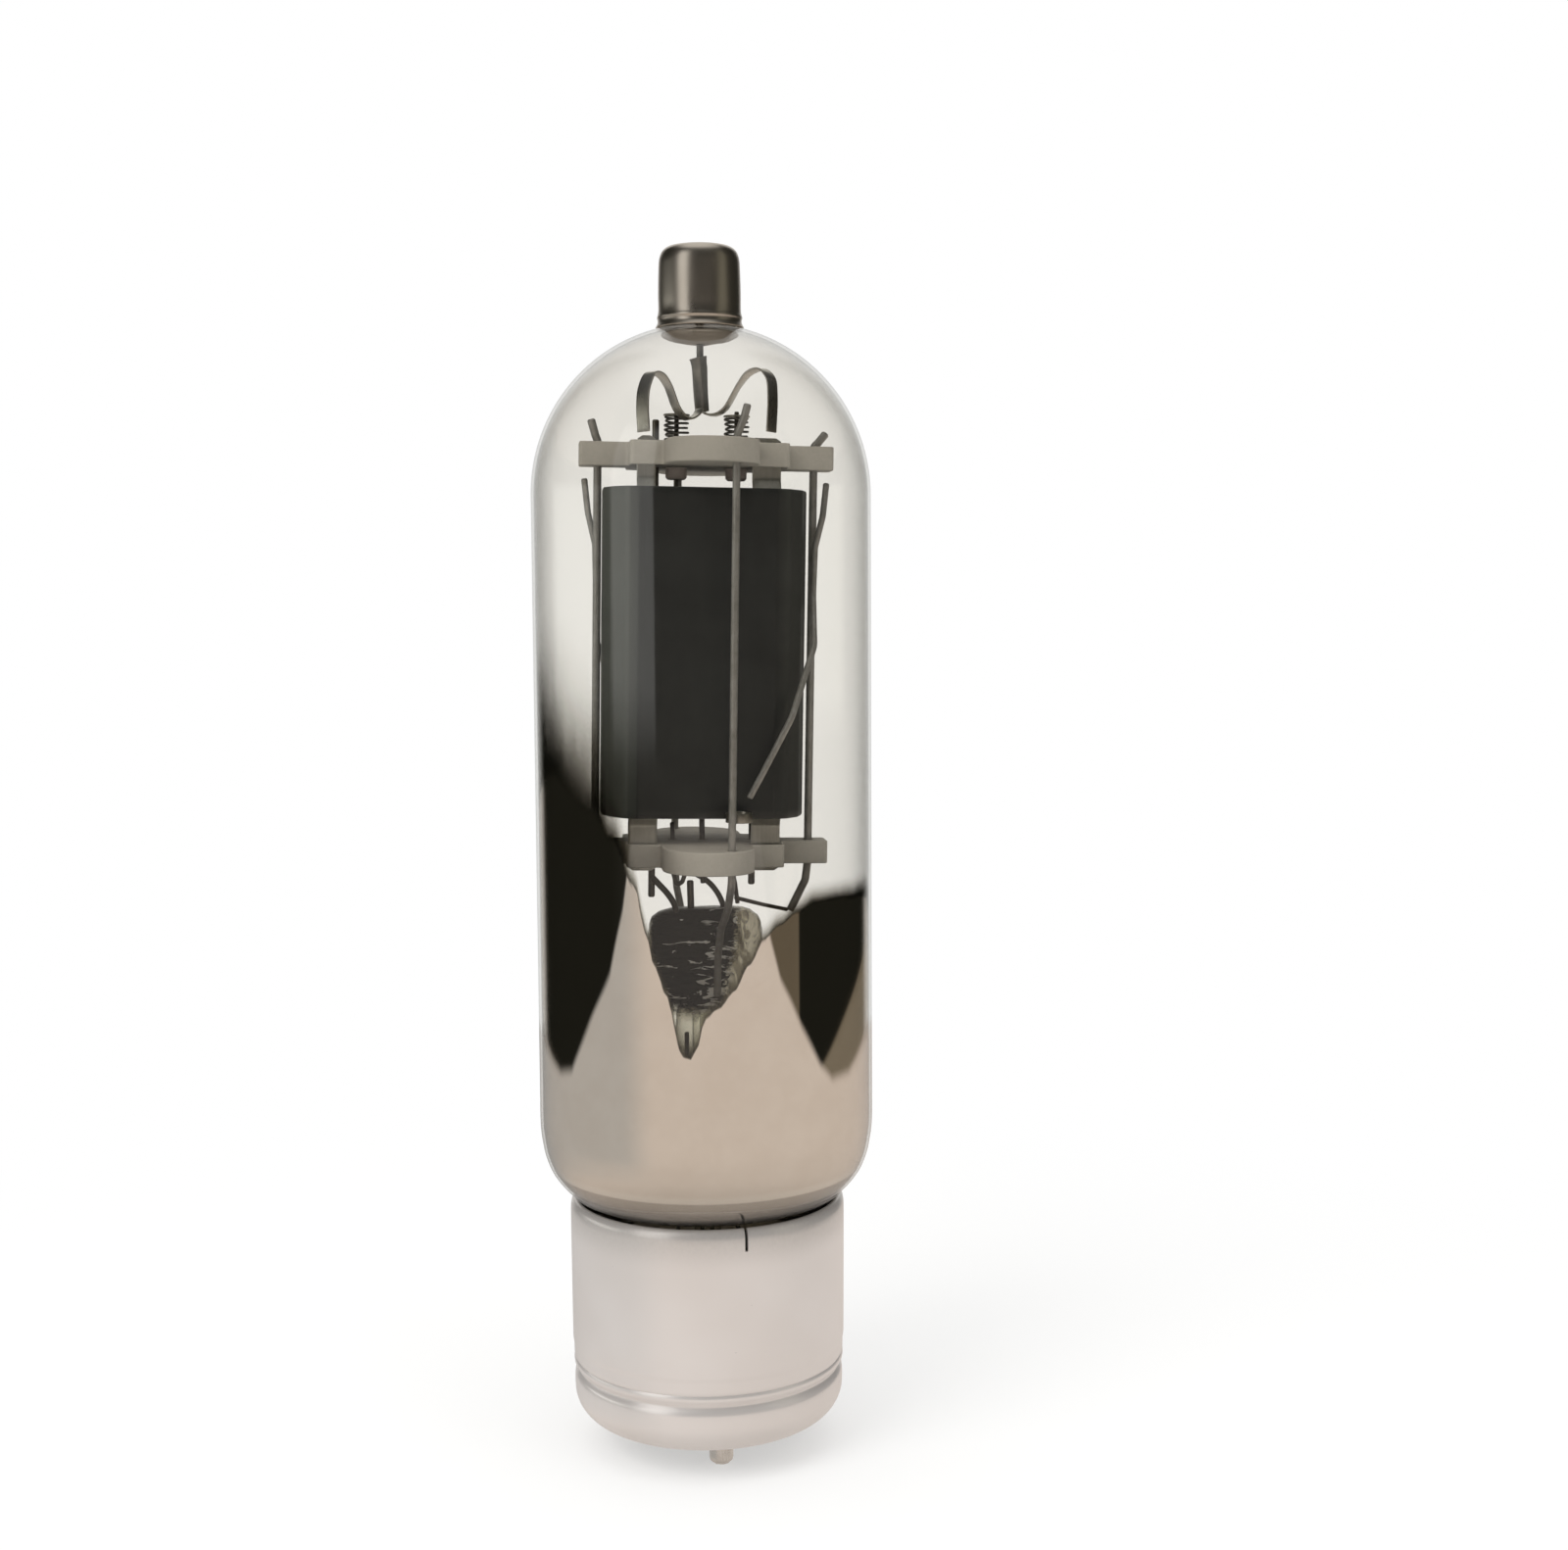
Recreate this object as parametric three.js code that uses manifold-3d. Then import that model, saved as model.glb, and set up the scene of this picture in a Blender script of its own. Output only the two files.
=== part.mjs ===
// Transmitting triode with a tubular glass bulb, a top anode cap and a four-pin
// metal-shell base. Millimetres, +Z up, origin at the centre of the plane
// through the four pin tips. -Y faces the viewer, so -X is left and +X is right.
import * as THREE from 'three';
import { mergeVertices } from 'three/addons/utils/BufferGeometryUtils.js';
import Module from 'manifold-3d';

const wasm = await Module();
wasm.setup();
const { degToRad, radToDeg, lerp, smoothstep } = THREE.MathUtils;

// ---- driving dimensions; z counts from the bottom edge of the base shell ----
const PIN_PROTRUSION = 5.0;      // pins below the base shell
const SEGMENTS = 36;             // sides of the large turned parts
const BULB_R = 29.35;
const BULB_WALL = 1.2;
const DOME_Z = 162.55;           // centre of the hemispherical dome
const DOME_HOLE_R = 0.95;        // where the anode lead passes the dome
const SHOULDER_Z = 53.7;         // where the cylinder ends above the base
const NECK_R = 23.5;
const NECK_Z = 40.9;
const SEAL_R = 22.4;             // neck radius inside the base shell
const CAP_R = 7.1;
const CAP_TOP = 205.1;
const SHELL_R = 24.25;
const SHELL_TOP = 39.7;
const PIN_CIRCLE_R = 12.8;

// ---- inside the mount; z counts from MOUNT_Z ----
const MOUNT_Z = 3.95;
const LEAN = degToRad(1.15);     // the mount leans to the right in the bulb
const LEAN_Z = 119;              // height about which it leans
const SPACER_TOP_Z = [163.3, 167.4];
const SPACER_LOW_Z = [94.8, 98.8];
const SIDE_ROD_X = 18.75;
const SIDE_ROD_R = 0.7;
const FRONT_ROD = [3.5, -17.5];  // [x, y]; the rear rod stands half a turn away
const FRONT_ROD_R = 0.65;
const GRID_ROD_X = 8.8;
const GRID_ROD_R = 0.6;
const HOOK_X = 5.2;              // filament tension hooks
const BUSH_R = 1.85;             // ceramic bushes round the hook rods
const FILAMENT_Y = 1.1;
const STRAP_Y = -7.2;            // where the anode straps pass the spacers
const STRAP_FOOT_Y = -9.0;       // where they lie along the anode
const STRAP_THICKNESS = 0.5;
const TOP_STRAPS = [[-10.8, 3.2], [9.7, 4.9]];     // [x, width], left and right
const LOW_STRAPS = [[-10.9, 5.0], [10.3, 5.0]];

// ---- groups ----
const group = new THREE.Group();
group.position.z = PIN_PROTRUSION;
const mount = new THREE.Group();
mount.position.z = MOUNT_Z;
group.add(mount);
const leaning = new THREE.Group();
leaning.rotation.y = LEAN;
leaning.position.set(-LEAN_Z * Math.sin(LEAN), 0, LEAN_Z * (1 - Math.cos(LEAN)));
mount.add(leaning);

// ---- materials ----
const finishes = {
  glass: { color: 0xe9ece6, roughness: 0.05, metalness: 0.0, opacity: 0.3, transparent: true },
  getter: { color: 0xb6a894, roughness: 0.12, metalness: 1.0 },
  cap: { color: 0x6e6458, roughness: 0.38, metalness: 0.9 },
  cement: { color: 0x8c8474, roughness: 0.9, metalness: 0.0 },
  nickel: { color: 0x8b867b, roughness: 0.35, metalness: 1.0 },
  rods: { color: 0x55524a, roughness: 0.42, metalness: 0.9 },
  ceramic: { color: 0xa5a398, roughness: 0.75, metalness: 0.0 },
  anode: { color: 0x262829, roughness: 0.55, metalness: 0.3 },
  grid: { color: 0x6a6a66, roughness: 0.4, metalness: 1.0 },
  filament: { color: 0x3c3c3a, roughness: 0.5, metalness: 0.9 },
  base: { color: 0xd4cdc8, roughness: 0.32, metalness: 0.9 },
  pins: { color: 0xc9c4b8, roughness: 0.25, metalness: 1.0 },
};

function add(name, geometry, finish, parent = group) {
  const mesh = new THREE.Mesh(closed(geometry), new THREE.MeshStandardMaterial(finishes[finish]));
  mesh.name = name;
  parent.add(mesh);
}

// ---- closed meshes and solids ----
function signedVolume(position, corners) {
  const [a, b, c] = [0, 1, 2].map(() => new THREE.Vector3());
  let sum = 0;
  for (let i = 0; i < corners.length; i += 3) {
    a.fromBufferAttribute(position, corners[i]);
    b.fromBufferAttribute(position, corners[i + 1]);
    c.fromBufferAttribute(position, corners[i + 2]);
    sum += a.dot(b.cross(c));
  }
  return sum / 6;
}

// Only positions, shared vertices merged, zero-area triangles dropped, faces out.
function closed(geometry) {
  const bare = new THREE.BufferGeometry()
    .setAttribute('position', geometry.getAttribute('position'))
    .setIndex(geometry.index);
  const merged = mergeVertices(bare, 1e-4);
  const all = merged.index.array;
  const corners = [];
  for (let i = 0; i < all.length; i += 3) {
    const [a, b, c] = all.subarray(i, i + 3);
    if (a !== b && b !== c && c !== a) corners.push(a, b, c);
  }
  if (signedVolume(merged.getAttribute('position'), corners) < 0) {
    for (let i = 0; i < corners.length; i += 3) {
      [corners[i], corners[i + 1]] = [corners[i + 1], corners[i]];
    }
  }
  return merged.setIndex(corners);
}

function toSolid(geometry) {
  const mesh = closed(geometry);
  return new wasm.Manifold(new wasm.Mesh({
    numProp: 3,
    vertProperties: new Float32Array(mesh.getAttribute('position').array),
    triVerts: new Uint32Array(mesh.index.array),
  }));
}

function fromSolid(solid) {
  const mesh = solid.getMesh();
  return new THREE.BufferGeometry()
    .setAttribute('position', new THREE.BufferAttribute(mesh.vertProperties, 3))
    .setIndex(new THREE.BufferAttribute(mesh.triVerts, 1));
}

// ---- outlines and point lists ----
const outline = points => new THREE.Shape(points.map(([x, y]) => new THREE.Vector2(x, y)));

// Points turned by 180 degrees about Z.
const halfTurn = points => points.map(([x, y, ...z]) => [-x, -y, ...z]);

// Polygon round (x, y); shift turns it by a fraction of one side.
function circle(radius, sides, x = 0, y = 0, shift = 0) {
  return Array.from({ length: sides }, (_, i) => {
    const angle = 2 * Math.PI * (i + shift) / sides;
    return [x + radius * Math.cos(angle), y + radius * Math.sin(angle)];
  });
}

function rectangle(x, y, width, depth) {
  const [w, d] = [width / 2, depth / 2];
  return [[x - w, y - d], [x + w, y - d], [x + w, y + d], [x - w, y + d]];
}

// Arc round (x, y) from one angle to another, in degrees.
function arc(x, y, radius, from, to, steps) {
  return Array.from({ length: steps + 1 }, (_, i) => {
    const angle = degToRad(from + (to - from) * i / steps);
    return [x + radius * Math.cos(angle), y + radius * Math.sin(angle)];
  });
}

// Outline of a strip of the given thickness along a centre line.
function band(line, thickness) {
  const left = [];
  const right = [];
  line.forEach(([x, y], i) => {
    const before = line[Math.max(i - 1, 0)];
    const after = line[Math.min(i + 1, line.length - 1)];
    const [dx, dy] = [after[0] - before[0], after[1] - before[1]];
    const scale = thickness / 2 / Math.hypot(dx, dy);
    left.push([x - dy * scale, y + dx * scale]);
    right.unshift([x + dy * scale, y - dx * scale]);
  });
  return [...left, ...right];
}

// Evenly spaced points on a smooth curve through the given points.
function smooth(points, steps) {
  const vectors = points.map(point => new THREE.Vector3(...point));
  const curve = new THREE.CatmullRomCurve3(vectors, false, 'centripetal');
  return curve.getSpacedPoints(steps).map(point => point.toArray());
}

// Points of a helix round the line x = 0 shifted by x; angles in radians.
function coil({ x = 0, radiusX, radiusY, zRange: [bottom, top], turns, start = 0 }) {
  const perTurn = 8;
  const steps = turns * perTurn;
  return Array.from({ length: steps + 1 }, (_, i) => {
    const angle = 2 * Math.PI * i / perTurn + start;
    const z = bottom + (top - bottom) * i / steps;
    return [x + radiusX * Math.cos(angle), radiusY * Math.sin(angle), z];
  });
}

// ---- shape builders ----
// Turned part: [radius, z] profile revolved about Z; angle 0 is at -Y.
function turned(profile, segments = SEGMENTS) {
  const points = profile.map(([radius, z]) => new THREE.Vector2(radius, z));
  return new THREE.LatheGeometry(points, segments).rotateX(Math.PI / 2);
}

// Turned part whose profile closes on itself.
const ring = (profile, segments) => turned([...profile, profile[0]], segments);

// Path whose steps fall exactly on its points.
class BentPath extends THREE.Curve {
  constructor(points) {
    super();
    this.points = points.map(point => new THREE.Vector3(...point));
  }

  indexAt(u) {
    return Math.round(u * (this.points.length - 1));
  }

  getPointAt(u) {
    return this.points[this.indexAt(u)].clone();
  }

  // Mean direction of the two legs that meet at the point.
  getTangentAt(u) {
    const i = this.indexAt(u);
    const [before, here, after] = [this.points[i - 1], this.points[i], this.points[i + 1]];
    const tangent = new THREE.Vector3();
    if (before) tangent.add(here.clone().sub(before).normalize());
    if (after) tangent.add(after.clone().sub(here).normalize());
    return tangent.normalize();
  }
}

// Round wire through [x, y, z] points.
function sweep(points, radius, sides = 8) {
  return new THREE.ExtrudeGeometry(outline(circle(radius, sides)), {
    steps: points.length - 1,
    extrudePath: new BentPath(points),
    bevelEnabled: false,
  });
}

const extrude = (points, depth) =>
  new THREE.ExtrudeGeometry(outline(points), { depth, bevelEnabled: false });

// Flat plate between two heights, with holes cut through it.
function plate(points, [bottom, top], holes = []) {
  const blank = extrude(points, top - bottom).translate(0, 0, bottom);
  if (!holes.length) return blank;
  const overshoot = 1;
  let body = toSolid(blank);
  for (const hole of holes) {
    body = body.subtract(toSolid(plate(hole, [bottom - overshoot, top + overshoot])));
  }
  return fromSolid(body);
}

// ---- glass envelope ----
// [radius, z] points of the reverse-curved shoulder on the outer surface
const SHOULDER = [[25.0, 41.8], [27.0, 44.1], [28.3, 46.8], [29.05, 50.1]];

// Profile from the neck to the foot of the cylinder, inset from the outer surface.
function bulbShoulder(inset) {
  const curve = SHOULDER.map(([radius, z]) => {
    const outward = (radius - NECK_R) / (BULB_R - NECK_R);
    return [radius - inset * (0.35 + 0.65 * outward), z + inset * (1 - outward) * 0.8];
  });
  return [
    [NECK_R - 0.2 - inset, 40.3],
    [NECK_R + 0.6 - inset, NECK_Z - 0.4 * inset],
    ...curve,
    [BULB_R - inset, SHOULDER_Z],
  ];
}

function bulbSide(inset) {
  const radius = BULB_R - inset;
  const domeEnd = radToDeg(Math.acos(DOME_HOLE_R / radius));
  return [
    [SEAL_R - inset, 33.0], [SEAL_R - inset, 39.7],
    ...bulbShoulder(inset),
    ...arc(0, DOME_Z, radius, 0, domeEnd, 9),
  ];
}
add('bulb', ring([...bulbSide(0), ...bulbSide(BULB_WALL).reverse()]), 'glass');

// Getter mirror: a thin film on the inside of the lower bulb with a wavy edge.
const FILM_GAP = 0.06;           // between the glass and the film
const FILM_THICKNESS = 0.2;
const FILM_MIN_Z = 55;
const FILM_ZERO = -5;            // degrees from -Y towards +X where the table's zero lies
// [degrees towards +X, z of the upper edge]
const FILM_EDGE = [
  [-180, 52], [-150, 62], [-115, 100], [-90, 113], [-61, 119.4], [-40, 114.1], [-32, 107.7],
  [-23.5, 98.8], [-19.7, 89], [-16.5, 84], [-12.7, 79.3], [-9.5, 75], [-6, 71], [-2, 69.3],
  [2, 70.2], [5.7, 74.4], [10, 79.9], [14.3, 85.4], [19.4, 89.4], [25, 91.6], [31.4, 93.7],
  [39, 95.2], [52, 95.3], [64, 94.8], [72, 94], [88, 90], [108, 84], [150, 62], [180, 52],
];

function filmEdge(degrees) {
  const next = FILM_EDGE.findIndex(([angle], i) => i > 0 && angle >= degrees);
  const [fromAngle, fromZ] = FILM_EDGE[next - 1];
  const [toAngle, toZ] = FILM_EDGE[next];
  const z = lerp(fromZ, toZ, smoothstep(degrees, fromAngle, toAngle));
  return Math.max(z, FILM_MIN_Z);
}

function getterFilm() {
  const outer = bulbShoulder(BULB_WALL + FILM_GAP);
  const inner = bulbShoulder(BULB_WALL + FILM_GAP + FILM_THICKNESS).reverse();
  const sections = [];
  for (let k = 0; k < SEGMENTS; k++) {
    const angle = 2 * Math.PI * k / SEGMENTS;
    let degrees = radToDeg(angle) - FILM_ZERO;
    if (degrees > 180) degrees -= 360;
    const z = filmEdge(degrees);
    const section = [...outer, [outer.at(-1)[0], z], [inner[0][0], z], ...inner];
    sections.push(section.map(([r, h]) => [r * Math.sin(angle), -r * Math.cos(angle), h]));
  }
  const count = sections[0].length;
  const corners = [];
  for (let k = 0; k < SEGMENTS; k++) {
    const here = k * count;
    const next = ((k + 1) % SEGMENTS) * count;
    for (let i = 0; i < count; i++) {
      const j = (i + 1) % count;
      corners.push(here + i, next + i, next + j, here + i, next + j, here + j);
    }
  }
  return new THREE.BufferGeometry()
    .setAttribute('position', new THREE.Float32BufferAttribute(sections.flat(2), 3))
    .setIndex(corners);
}
add('getter_film', getterFilm(), 'getter');

// ---- anode cap and its lead; profiles hold [radius, z] ----
add('anode_cap', turned([
  [0, CAP_TOP], [4.5, CAP_TOP], [5.6, 204.85], [6.35, 204.25], [6.8, 203.4], [7.0, 201.2],
  [CAP_R, 198.7], [CAP_R, 194.0], [7.3, 193.25], [7.15, 192.55], [7.25, 191.85], [7.6, 191.25],
  [7.55, 191.1], [6.75, 191.4], [6.55, 201.4], [5.6, 203.9], [0, 204.2],
], 28), 'cap');
add('cap_cement', ring([
  [1.1, 192.25], [3.5, 192.0], [6.3, 191.5], [6.3, 197.2], [5.9, 198.4], [1.1, 199.0],
], 20), 'cement');
add('top_seal', ring([
  [0.85, 188.5], [3.0, 188.65], [5.0, 189.0], [6.3, 189.45], [6.3, 189.6], [3.0, 190.2],
  [0.85, 190.35],
], 12), 'glass');
add('anode_lead_pin', sweep([[0, 0, 182.65], [0, 0, 203.9]], 0.6), 'rods');
add('anode_lead_sleeve', turned([
  [0, 173.0], [1.15, 173.0], [1.2, 177.3], [1.45, 177.8], [1.45, 182.3], [0.85, 182.3],
  [0.85, 178.3], [0, 178.3],
], 12), 'nickel', mount);

// ---- flexible ribbons from the sleeve down to the two anode straps ----
const RIBBON_WIDTH = 3.0;
const RIBBON_THICKNESS = 0.35;
const RIBBON_Y = -2.4;           // the two ribbon planes meet in front of the sleeve
const RIBBON_SLOPE = 0.354;      // how fast each ribbon comes forward as it goes out
const RIBBON_TURN = [20, 39];    // degrees about Z, at the inner and the outer leg
const RIBBON_TURN_X = [5.5, 10.0];  // distances from the axis where the turn starts and ends

// Ribbon through [distance from the axis, z] points; side is -1 for left, 1 for right.
function ribbon(points, side) {
  const line = smooth(points.map(([x, z]) => [x, 0, z]), 18);
  const sections = line.map(([x, , z], i) => {
    const before = line[Math.max(i - 1, 0)];
    const after = line[Math.min(i + 1, line.length - 1)];
    const [dx, dz] = [after[0] - before[0], after[2] - before[2]];
    const centre = new THREE.Vector3(side * x, RIBBON_Y - RIBBON_SLOPE * x, z);
    const along = new THREE.Vector3(side * dx, -RIBBON_SLOPE * dx, dz).normalize();
    const turn = degToRad(lerp(...RIBBON_TURN, smoothstep(x, ...RIBBON_TURN_X)));
    const across = new THREE.Vector3(side * Math.sin(turn), Math.cos(turn), 0);
    across.addScaledVector(along, -across.dot(along)).normalize();
    const normal = new THREE.Vector3().crossVectors(along, across);
    return rectangle(0, 0, RIBBON_WIDTH, RIBBON_THICKNESS).map(([width, thickness]) =>
      centre.clone().addScaledVector(across, width).addScaledVector(normal, thickness));
  });
  const corners = [];
  const last = 4 * (sections.length - 1);
  for (let i = 0; i < last; i += 4) {
    for (let k = 0; k < 4; k++) {
      const a = i + k;
      const b = i + (k + 1) % 4;
      corners.push(a, b, b + 4, a, b + 4, a + 4);
    }
  }
  corners.push(0, 2, 1, 0, 3, 2);
  corners.push(last, last + 1, last + 2, last, last + 2, last + 3);
  return new THREE.BufferGeometry().setFromPoints(sections.flat()).setIndex(corners);
}
add('ribbon_left', ribbon([
  [0.9, 172.4], [2.5, 171.5], [4.2, 172.9], [6.0, 177.2], [7.3, 178.8], [8.8, 179.0],
  [10.0, 176.6], [10.35, 173.5], [10.2, 169.1],
], -1), 'nickel', mount);
add('ribbon_right', ribbon([
  [0.9, 172.4], [2.4, 172.3], [3.9, 173.2], [6.3, 177.2], [8.0, 179.2], [10.0, 179.7],
  [11.4, 178.3], [11.75, 175.2], [11.5, 169.1],
], 1), 'nickel', mount);

// ---- straps that hang the anode from the top spacer and hold it on the low one ----
// The line holds [y, z] points.
function addStraps(name, line, straps) {
  straps.forEach(([x, width], i) => {
    const geometry = extrude(band(line, STRAP_THICKNESS), width)
      .rotateX(Math.PI / 2)
      .rotateZ(Math.PI / 2)
      .translate(x - width / 2, 0, 0);
    add(`${name}_${['left', 'right'][i]}`, geometry, 'nickel', leaning);
  });
}
addStraps('anode_strap', [
  [STRAP_FOOT_Y, 150.0], [STRAP_FOOT_Y, 157.5], [STRAP_Y, 161.2], [STRAP_Y, 168.2],
], TOP_STRAPS);
addStraps('lower_strap', [
  [STRAP_FOOT_Y, 114.0], [STRAP_FOOT_Y, 105.6], [STRAP_Y, 102.0], [STRAP_Y, 94.2],
], LOW_STRAPS);

// ---- ceramic spacers: a block with two side arms, and round ears front and rear ----
const SPACER_ARM = 21.95;        // from the axis to the end of each side arm
const SPACER_ARM_Y = 2.8;        // half depth of an arm
const ARM_CHAMFER = 0.5;
const SPACER_BLOCK = [13.6, 8.6];  // half width and half depth
const EAR_R = 7.8;
const EAR_Y = 13.0;              // centre of each ear's round end
const ROD_CLEARANCE = 0.28;

function spacerOutline() {
  const [blockX, blockY] = SPACER_BLOCK;
  const half = [
    [EAR_R, -blockY], [blockX, -blockY], [blockX, -SPACER_ARM_Y],
    [SPACER_ARM - ARM_CHAMFER, -SPACER_ARM_Y], [SPACER_ARM, ARM_CHAMFER - SPACER_ARM_Y],
    [SPACER_ARM, SPACER_ARM_Y - ARM_CHAMFER], [SPACER_ARM - ARM_CHAMFER, SPACER_ARM_Y],
    [blockX, SPACER_ARM_Y], [blockX, blockY], [EAR_R, blockY],
    ...arc(0, EAR_Y, EAR_R, 0, 180, 10),
  ];
  return [...half, ...halfTurn(half)];
}

const roundHole = (x, y, radius, sides = 8) => circle(radius, sides, x, y, 0.5);
const holePair = (x, y, radius, sides) =>
  [roundHole(x, y, radius, sides), roundHole(-x, -y, radius, sides)];

function spacer(zRange, straps, hookHoles) {
  return plate(spacerOutline(), zRange, [
    ...holePair(SIDE_ROD_X, 0, SIDE_ROD_R + ROD_CLEARANCE),
    ...holePair(...FRONT_ROD, FRONT_ROD_R + ROD_CLEARANCE),
    ...holePair(GRID_ROD_X, 0, GRID_ROD_R + ROD_CLEARANCE),
    ...straps.map(([x, width]) => rectangle(x, STRAP_Y, width + 0.6, 1.1)),
    ...hookHoles,
  ]);
}
add('top_spacer', spacer(SPACER_TOP_Z, TOP_STRAPS, holePair(HOOK_X, 0, BUSH_R + 0.25, 10)),
  'ceramic', leaning);
add('bottom_spacer', spacer(SPACER_LOW_Z, LOW_STRAPS,
  [...holePair(HOOK_X, 0, 0.85), roundHole(0, 0, 0.85)]), 'ceramic', leaning);

// ---- anode: two pressed half shells ----
const ANODE_Z = [103.4, 159.6];
const ANODE_X = 17.35;           // half width
const ANODE_Y = 10.0;            // half depth
const ANODE_WALL = 0.5;
const ANODE_SHIFT = -0.3;        // the anode stands a little left of the rods' middle
const anodeFront = band([
  [-ANODE_X, -0.35], [-ANODE_X + 0.15, -3.0], [-ANODE_X + 1.4, -6.6], [-13.6, -9.4],
  [-11.6, -ANODE_Y], [11.6, -ANODE_Y],
  [13.6, -9.4], [ANODE_X - 1.4, -6.6], [ANODE_X - 0.15, -3.0], [ANODE_X, -0.35],
], ANODE_WALL);
for (const [name, points] of [['front', anodeFront], ['rear', halfTurn(anodeFront)]]) {
  const shell = plate(points, ANODE_Z).translate(ANODE_SHIFT, 0, 0);
  add(`anode_${name}_half`, shell, 'anode', leaning);
}

// ---- tie rods; wires hold [x, y, z] points ----
const sideRodFoot = [
  [SIDE_ROD_X, 0, SPACER_LOW_Z[0]], [18.4, -0.1, 91.6], [15.6, -1.0, 86.2],
];
add('tie_rod_left', sweep([
  [-19.95, -0.4, 171.3], [-19.15, -0.1, 168.6], [-SIDE_ROD_X, 0, 167.6],
  ...halfTurn(sideRodFoot),
], SIDE_ROD_R), 'rods', leaning);
add('tie_rod_right', sweep([
  [20.9, 0.4, 169.9], [19.5, 0.1, 168.2], [SIDE_ROD_X, 0, 167.5],
  ...sideRodFoot,
], SIDE_ROD_R), 'rods', leaning);

// Front rod; the two heights are those of its bent upper end.
const frontRod = (tipZ, bendZ) => [
  [5.2, -17.6, tipZ], [4.5, -17.55, bendZ], [...FRONT_ROD, 167.7], [...FRONT_ROD, 93.0],
  [3.3, -14.0, 88.4], [2.6, -9.0, 84.0], [2.4, -6.6, 79.0], [2.4, -6.4, 72.0],
];
add('tie_rod_front', sweep(frontRod(172.9, 170.2), FRONT_ROD_R), 'rods', leaning);
add('tie_rod_rear', sweep(halfTurn(frontRod(171.2, 169.4)), FRONT_ROD_R), 'rods', leaning);

// ---- getter supports: down along the side rods, then across the anode ----
const getterWire = [
  [21.0, -0.4, 161.2], [20.3, -1.6, 155.5], [19.0, -1.6, 150.0], [18.8, -1.6, 142.0],
  [18.4, -6.8, 133.0], [14.0, -12.3, 121.0], [8.6, -13.0, 110.6], [6.8, -13.0, 107.2],
];
add('getter_wire_right', sweep(getterWire, 0.55), 'rods', leaning);
add('getter_wire_left', sweep(halfTurn(getterWire), 0.55), 'rods', leaning);
for (const [name, x, y] of [['front', 5.1, -13.0], ['rear', -5.1, 13.0]]) {
  const cup = ring([
    [0.9, 103.1], [2.3, 103.1], [2.3, 104.8], [2.0, 104.8], [2.0, 103.4], [0.9, 103.4],
  ], 14).translate(x, y, 0);
  add(`getter_cup_${name}`, cup, 'nickel', leaning);
}

// ---- grid: a flattened helix round two side rods ----
for (const [name, x, bottom, top] of [
  ['left', -GRID_ROD_X, 88.6, 171.5],
  ['right', GRID_ROD_X, 90.8, 168.8],
]) {
  add(`grid_rod_${name}`, sweep([[x, 0, bottom], [x, 0, top]], GRID_ROD_R), 'rods', leaning);
}
const gridCoil = coil({ radiusX: 10.0, radiusY: 3.3, zRange: [107, 156], turns: 16 });
add('grid_helix', sweep(gridCoil, 0.16, 4), 'grid', leaning);

// ---- sprung hooks and the filament limbs that hang on them ----
for (const [name, side] of [['left', -1], ['right', 1]]) {
  const x = side * HOOK_X;
  // straight shank with a small open hook at its lower end
  add(`hook_rod_${name}`, sweep([
    [x, 0, 173.2], [x, 0, 159.4], [x + 0.55, 0, 158.3], [x + 0.5, 0, 157.2],
    [x - 0.25, 0, 156.7], [x - 0.9, 0, 157.3],
  ], 0.4), 'rods', leaning);
  add(`spring_collar_${name}`, ring([
    [0.55, 172.2], [2.3, 172.2], [2.3, 172.5], [0.55, 172.5],
  ], 14).translate(x, 0, 0), 'nickel', leaning);
  add(`hook_bush_${name}`, ring([
    [0.6, 161.3], [1.5, 161.3], [BUSH_R, 161.7], [BUSH_R, 167.45], [2.6, 167.45],
    [2.6, 167.75], [0.6, 167.75],
  ], 14).translate(x, 0, 0), 'ceramic', leaning);
  const spring = coil({
    x, radiusX: 1.95, radiusY: 1.95, zRange: [168.05, 171.9], turns: 4.5,
    start: side > 0 ? Math.PI : 0,
  });
  add(`spring_${name}`, sweep(spring, 0.2, 5), 'filament', leaning);
  // up from the low support, over the hook and back down to the centre
  add(`filament_${name}`, sweep([
    [x + side * 1.6, FILAMENT_Y, 102.2], [x + side * 0.9, FILAMENT_Y, 157.8],
    [x, FILAMENT_Y, 158.6], [x - side * 0.55, FILAMENT_Y, 157.9],
    [side * 1.3, FILAMENT_Y, 103.4],
  ], 0.22, 6), 'filament', leaning);
}

// ---- filament supports through the bottom spacer ----
add('filament_center_hook', sweep([
  [0, FILAMENT_Y, 104.4], [0, 0.7, 101.5], [0, 0, 99.6], [0, 0, 94.0], [0.3, -0.2, 91.0],
], 0.5, 6), 'rods', leaning);
const leadTop = x => [[x, FILAMENT_Y, 101.6], [x, 0.4, 100.4], [x, 0, 99.4]];
add('filament_lead_left', sweep([
  ...leadTop(-HOOK_X), [-HOOK_X, 0, 93.6], [-4.4, 0, 90.6], [-3.4, 0, 91.2], [-2.7, 0, 93.4],
], 0.4, 6), 'rods', leaning);
add('filament_lead_right', sweep([
  ...leadTop(HOOK_X), [HOOK_X, 0, 94.2], [5.9, -0.1, 91.0], [6.4, -0.2, 87.4],
], 0.4, 6), 'rods', leaning);

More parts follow.
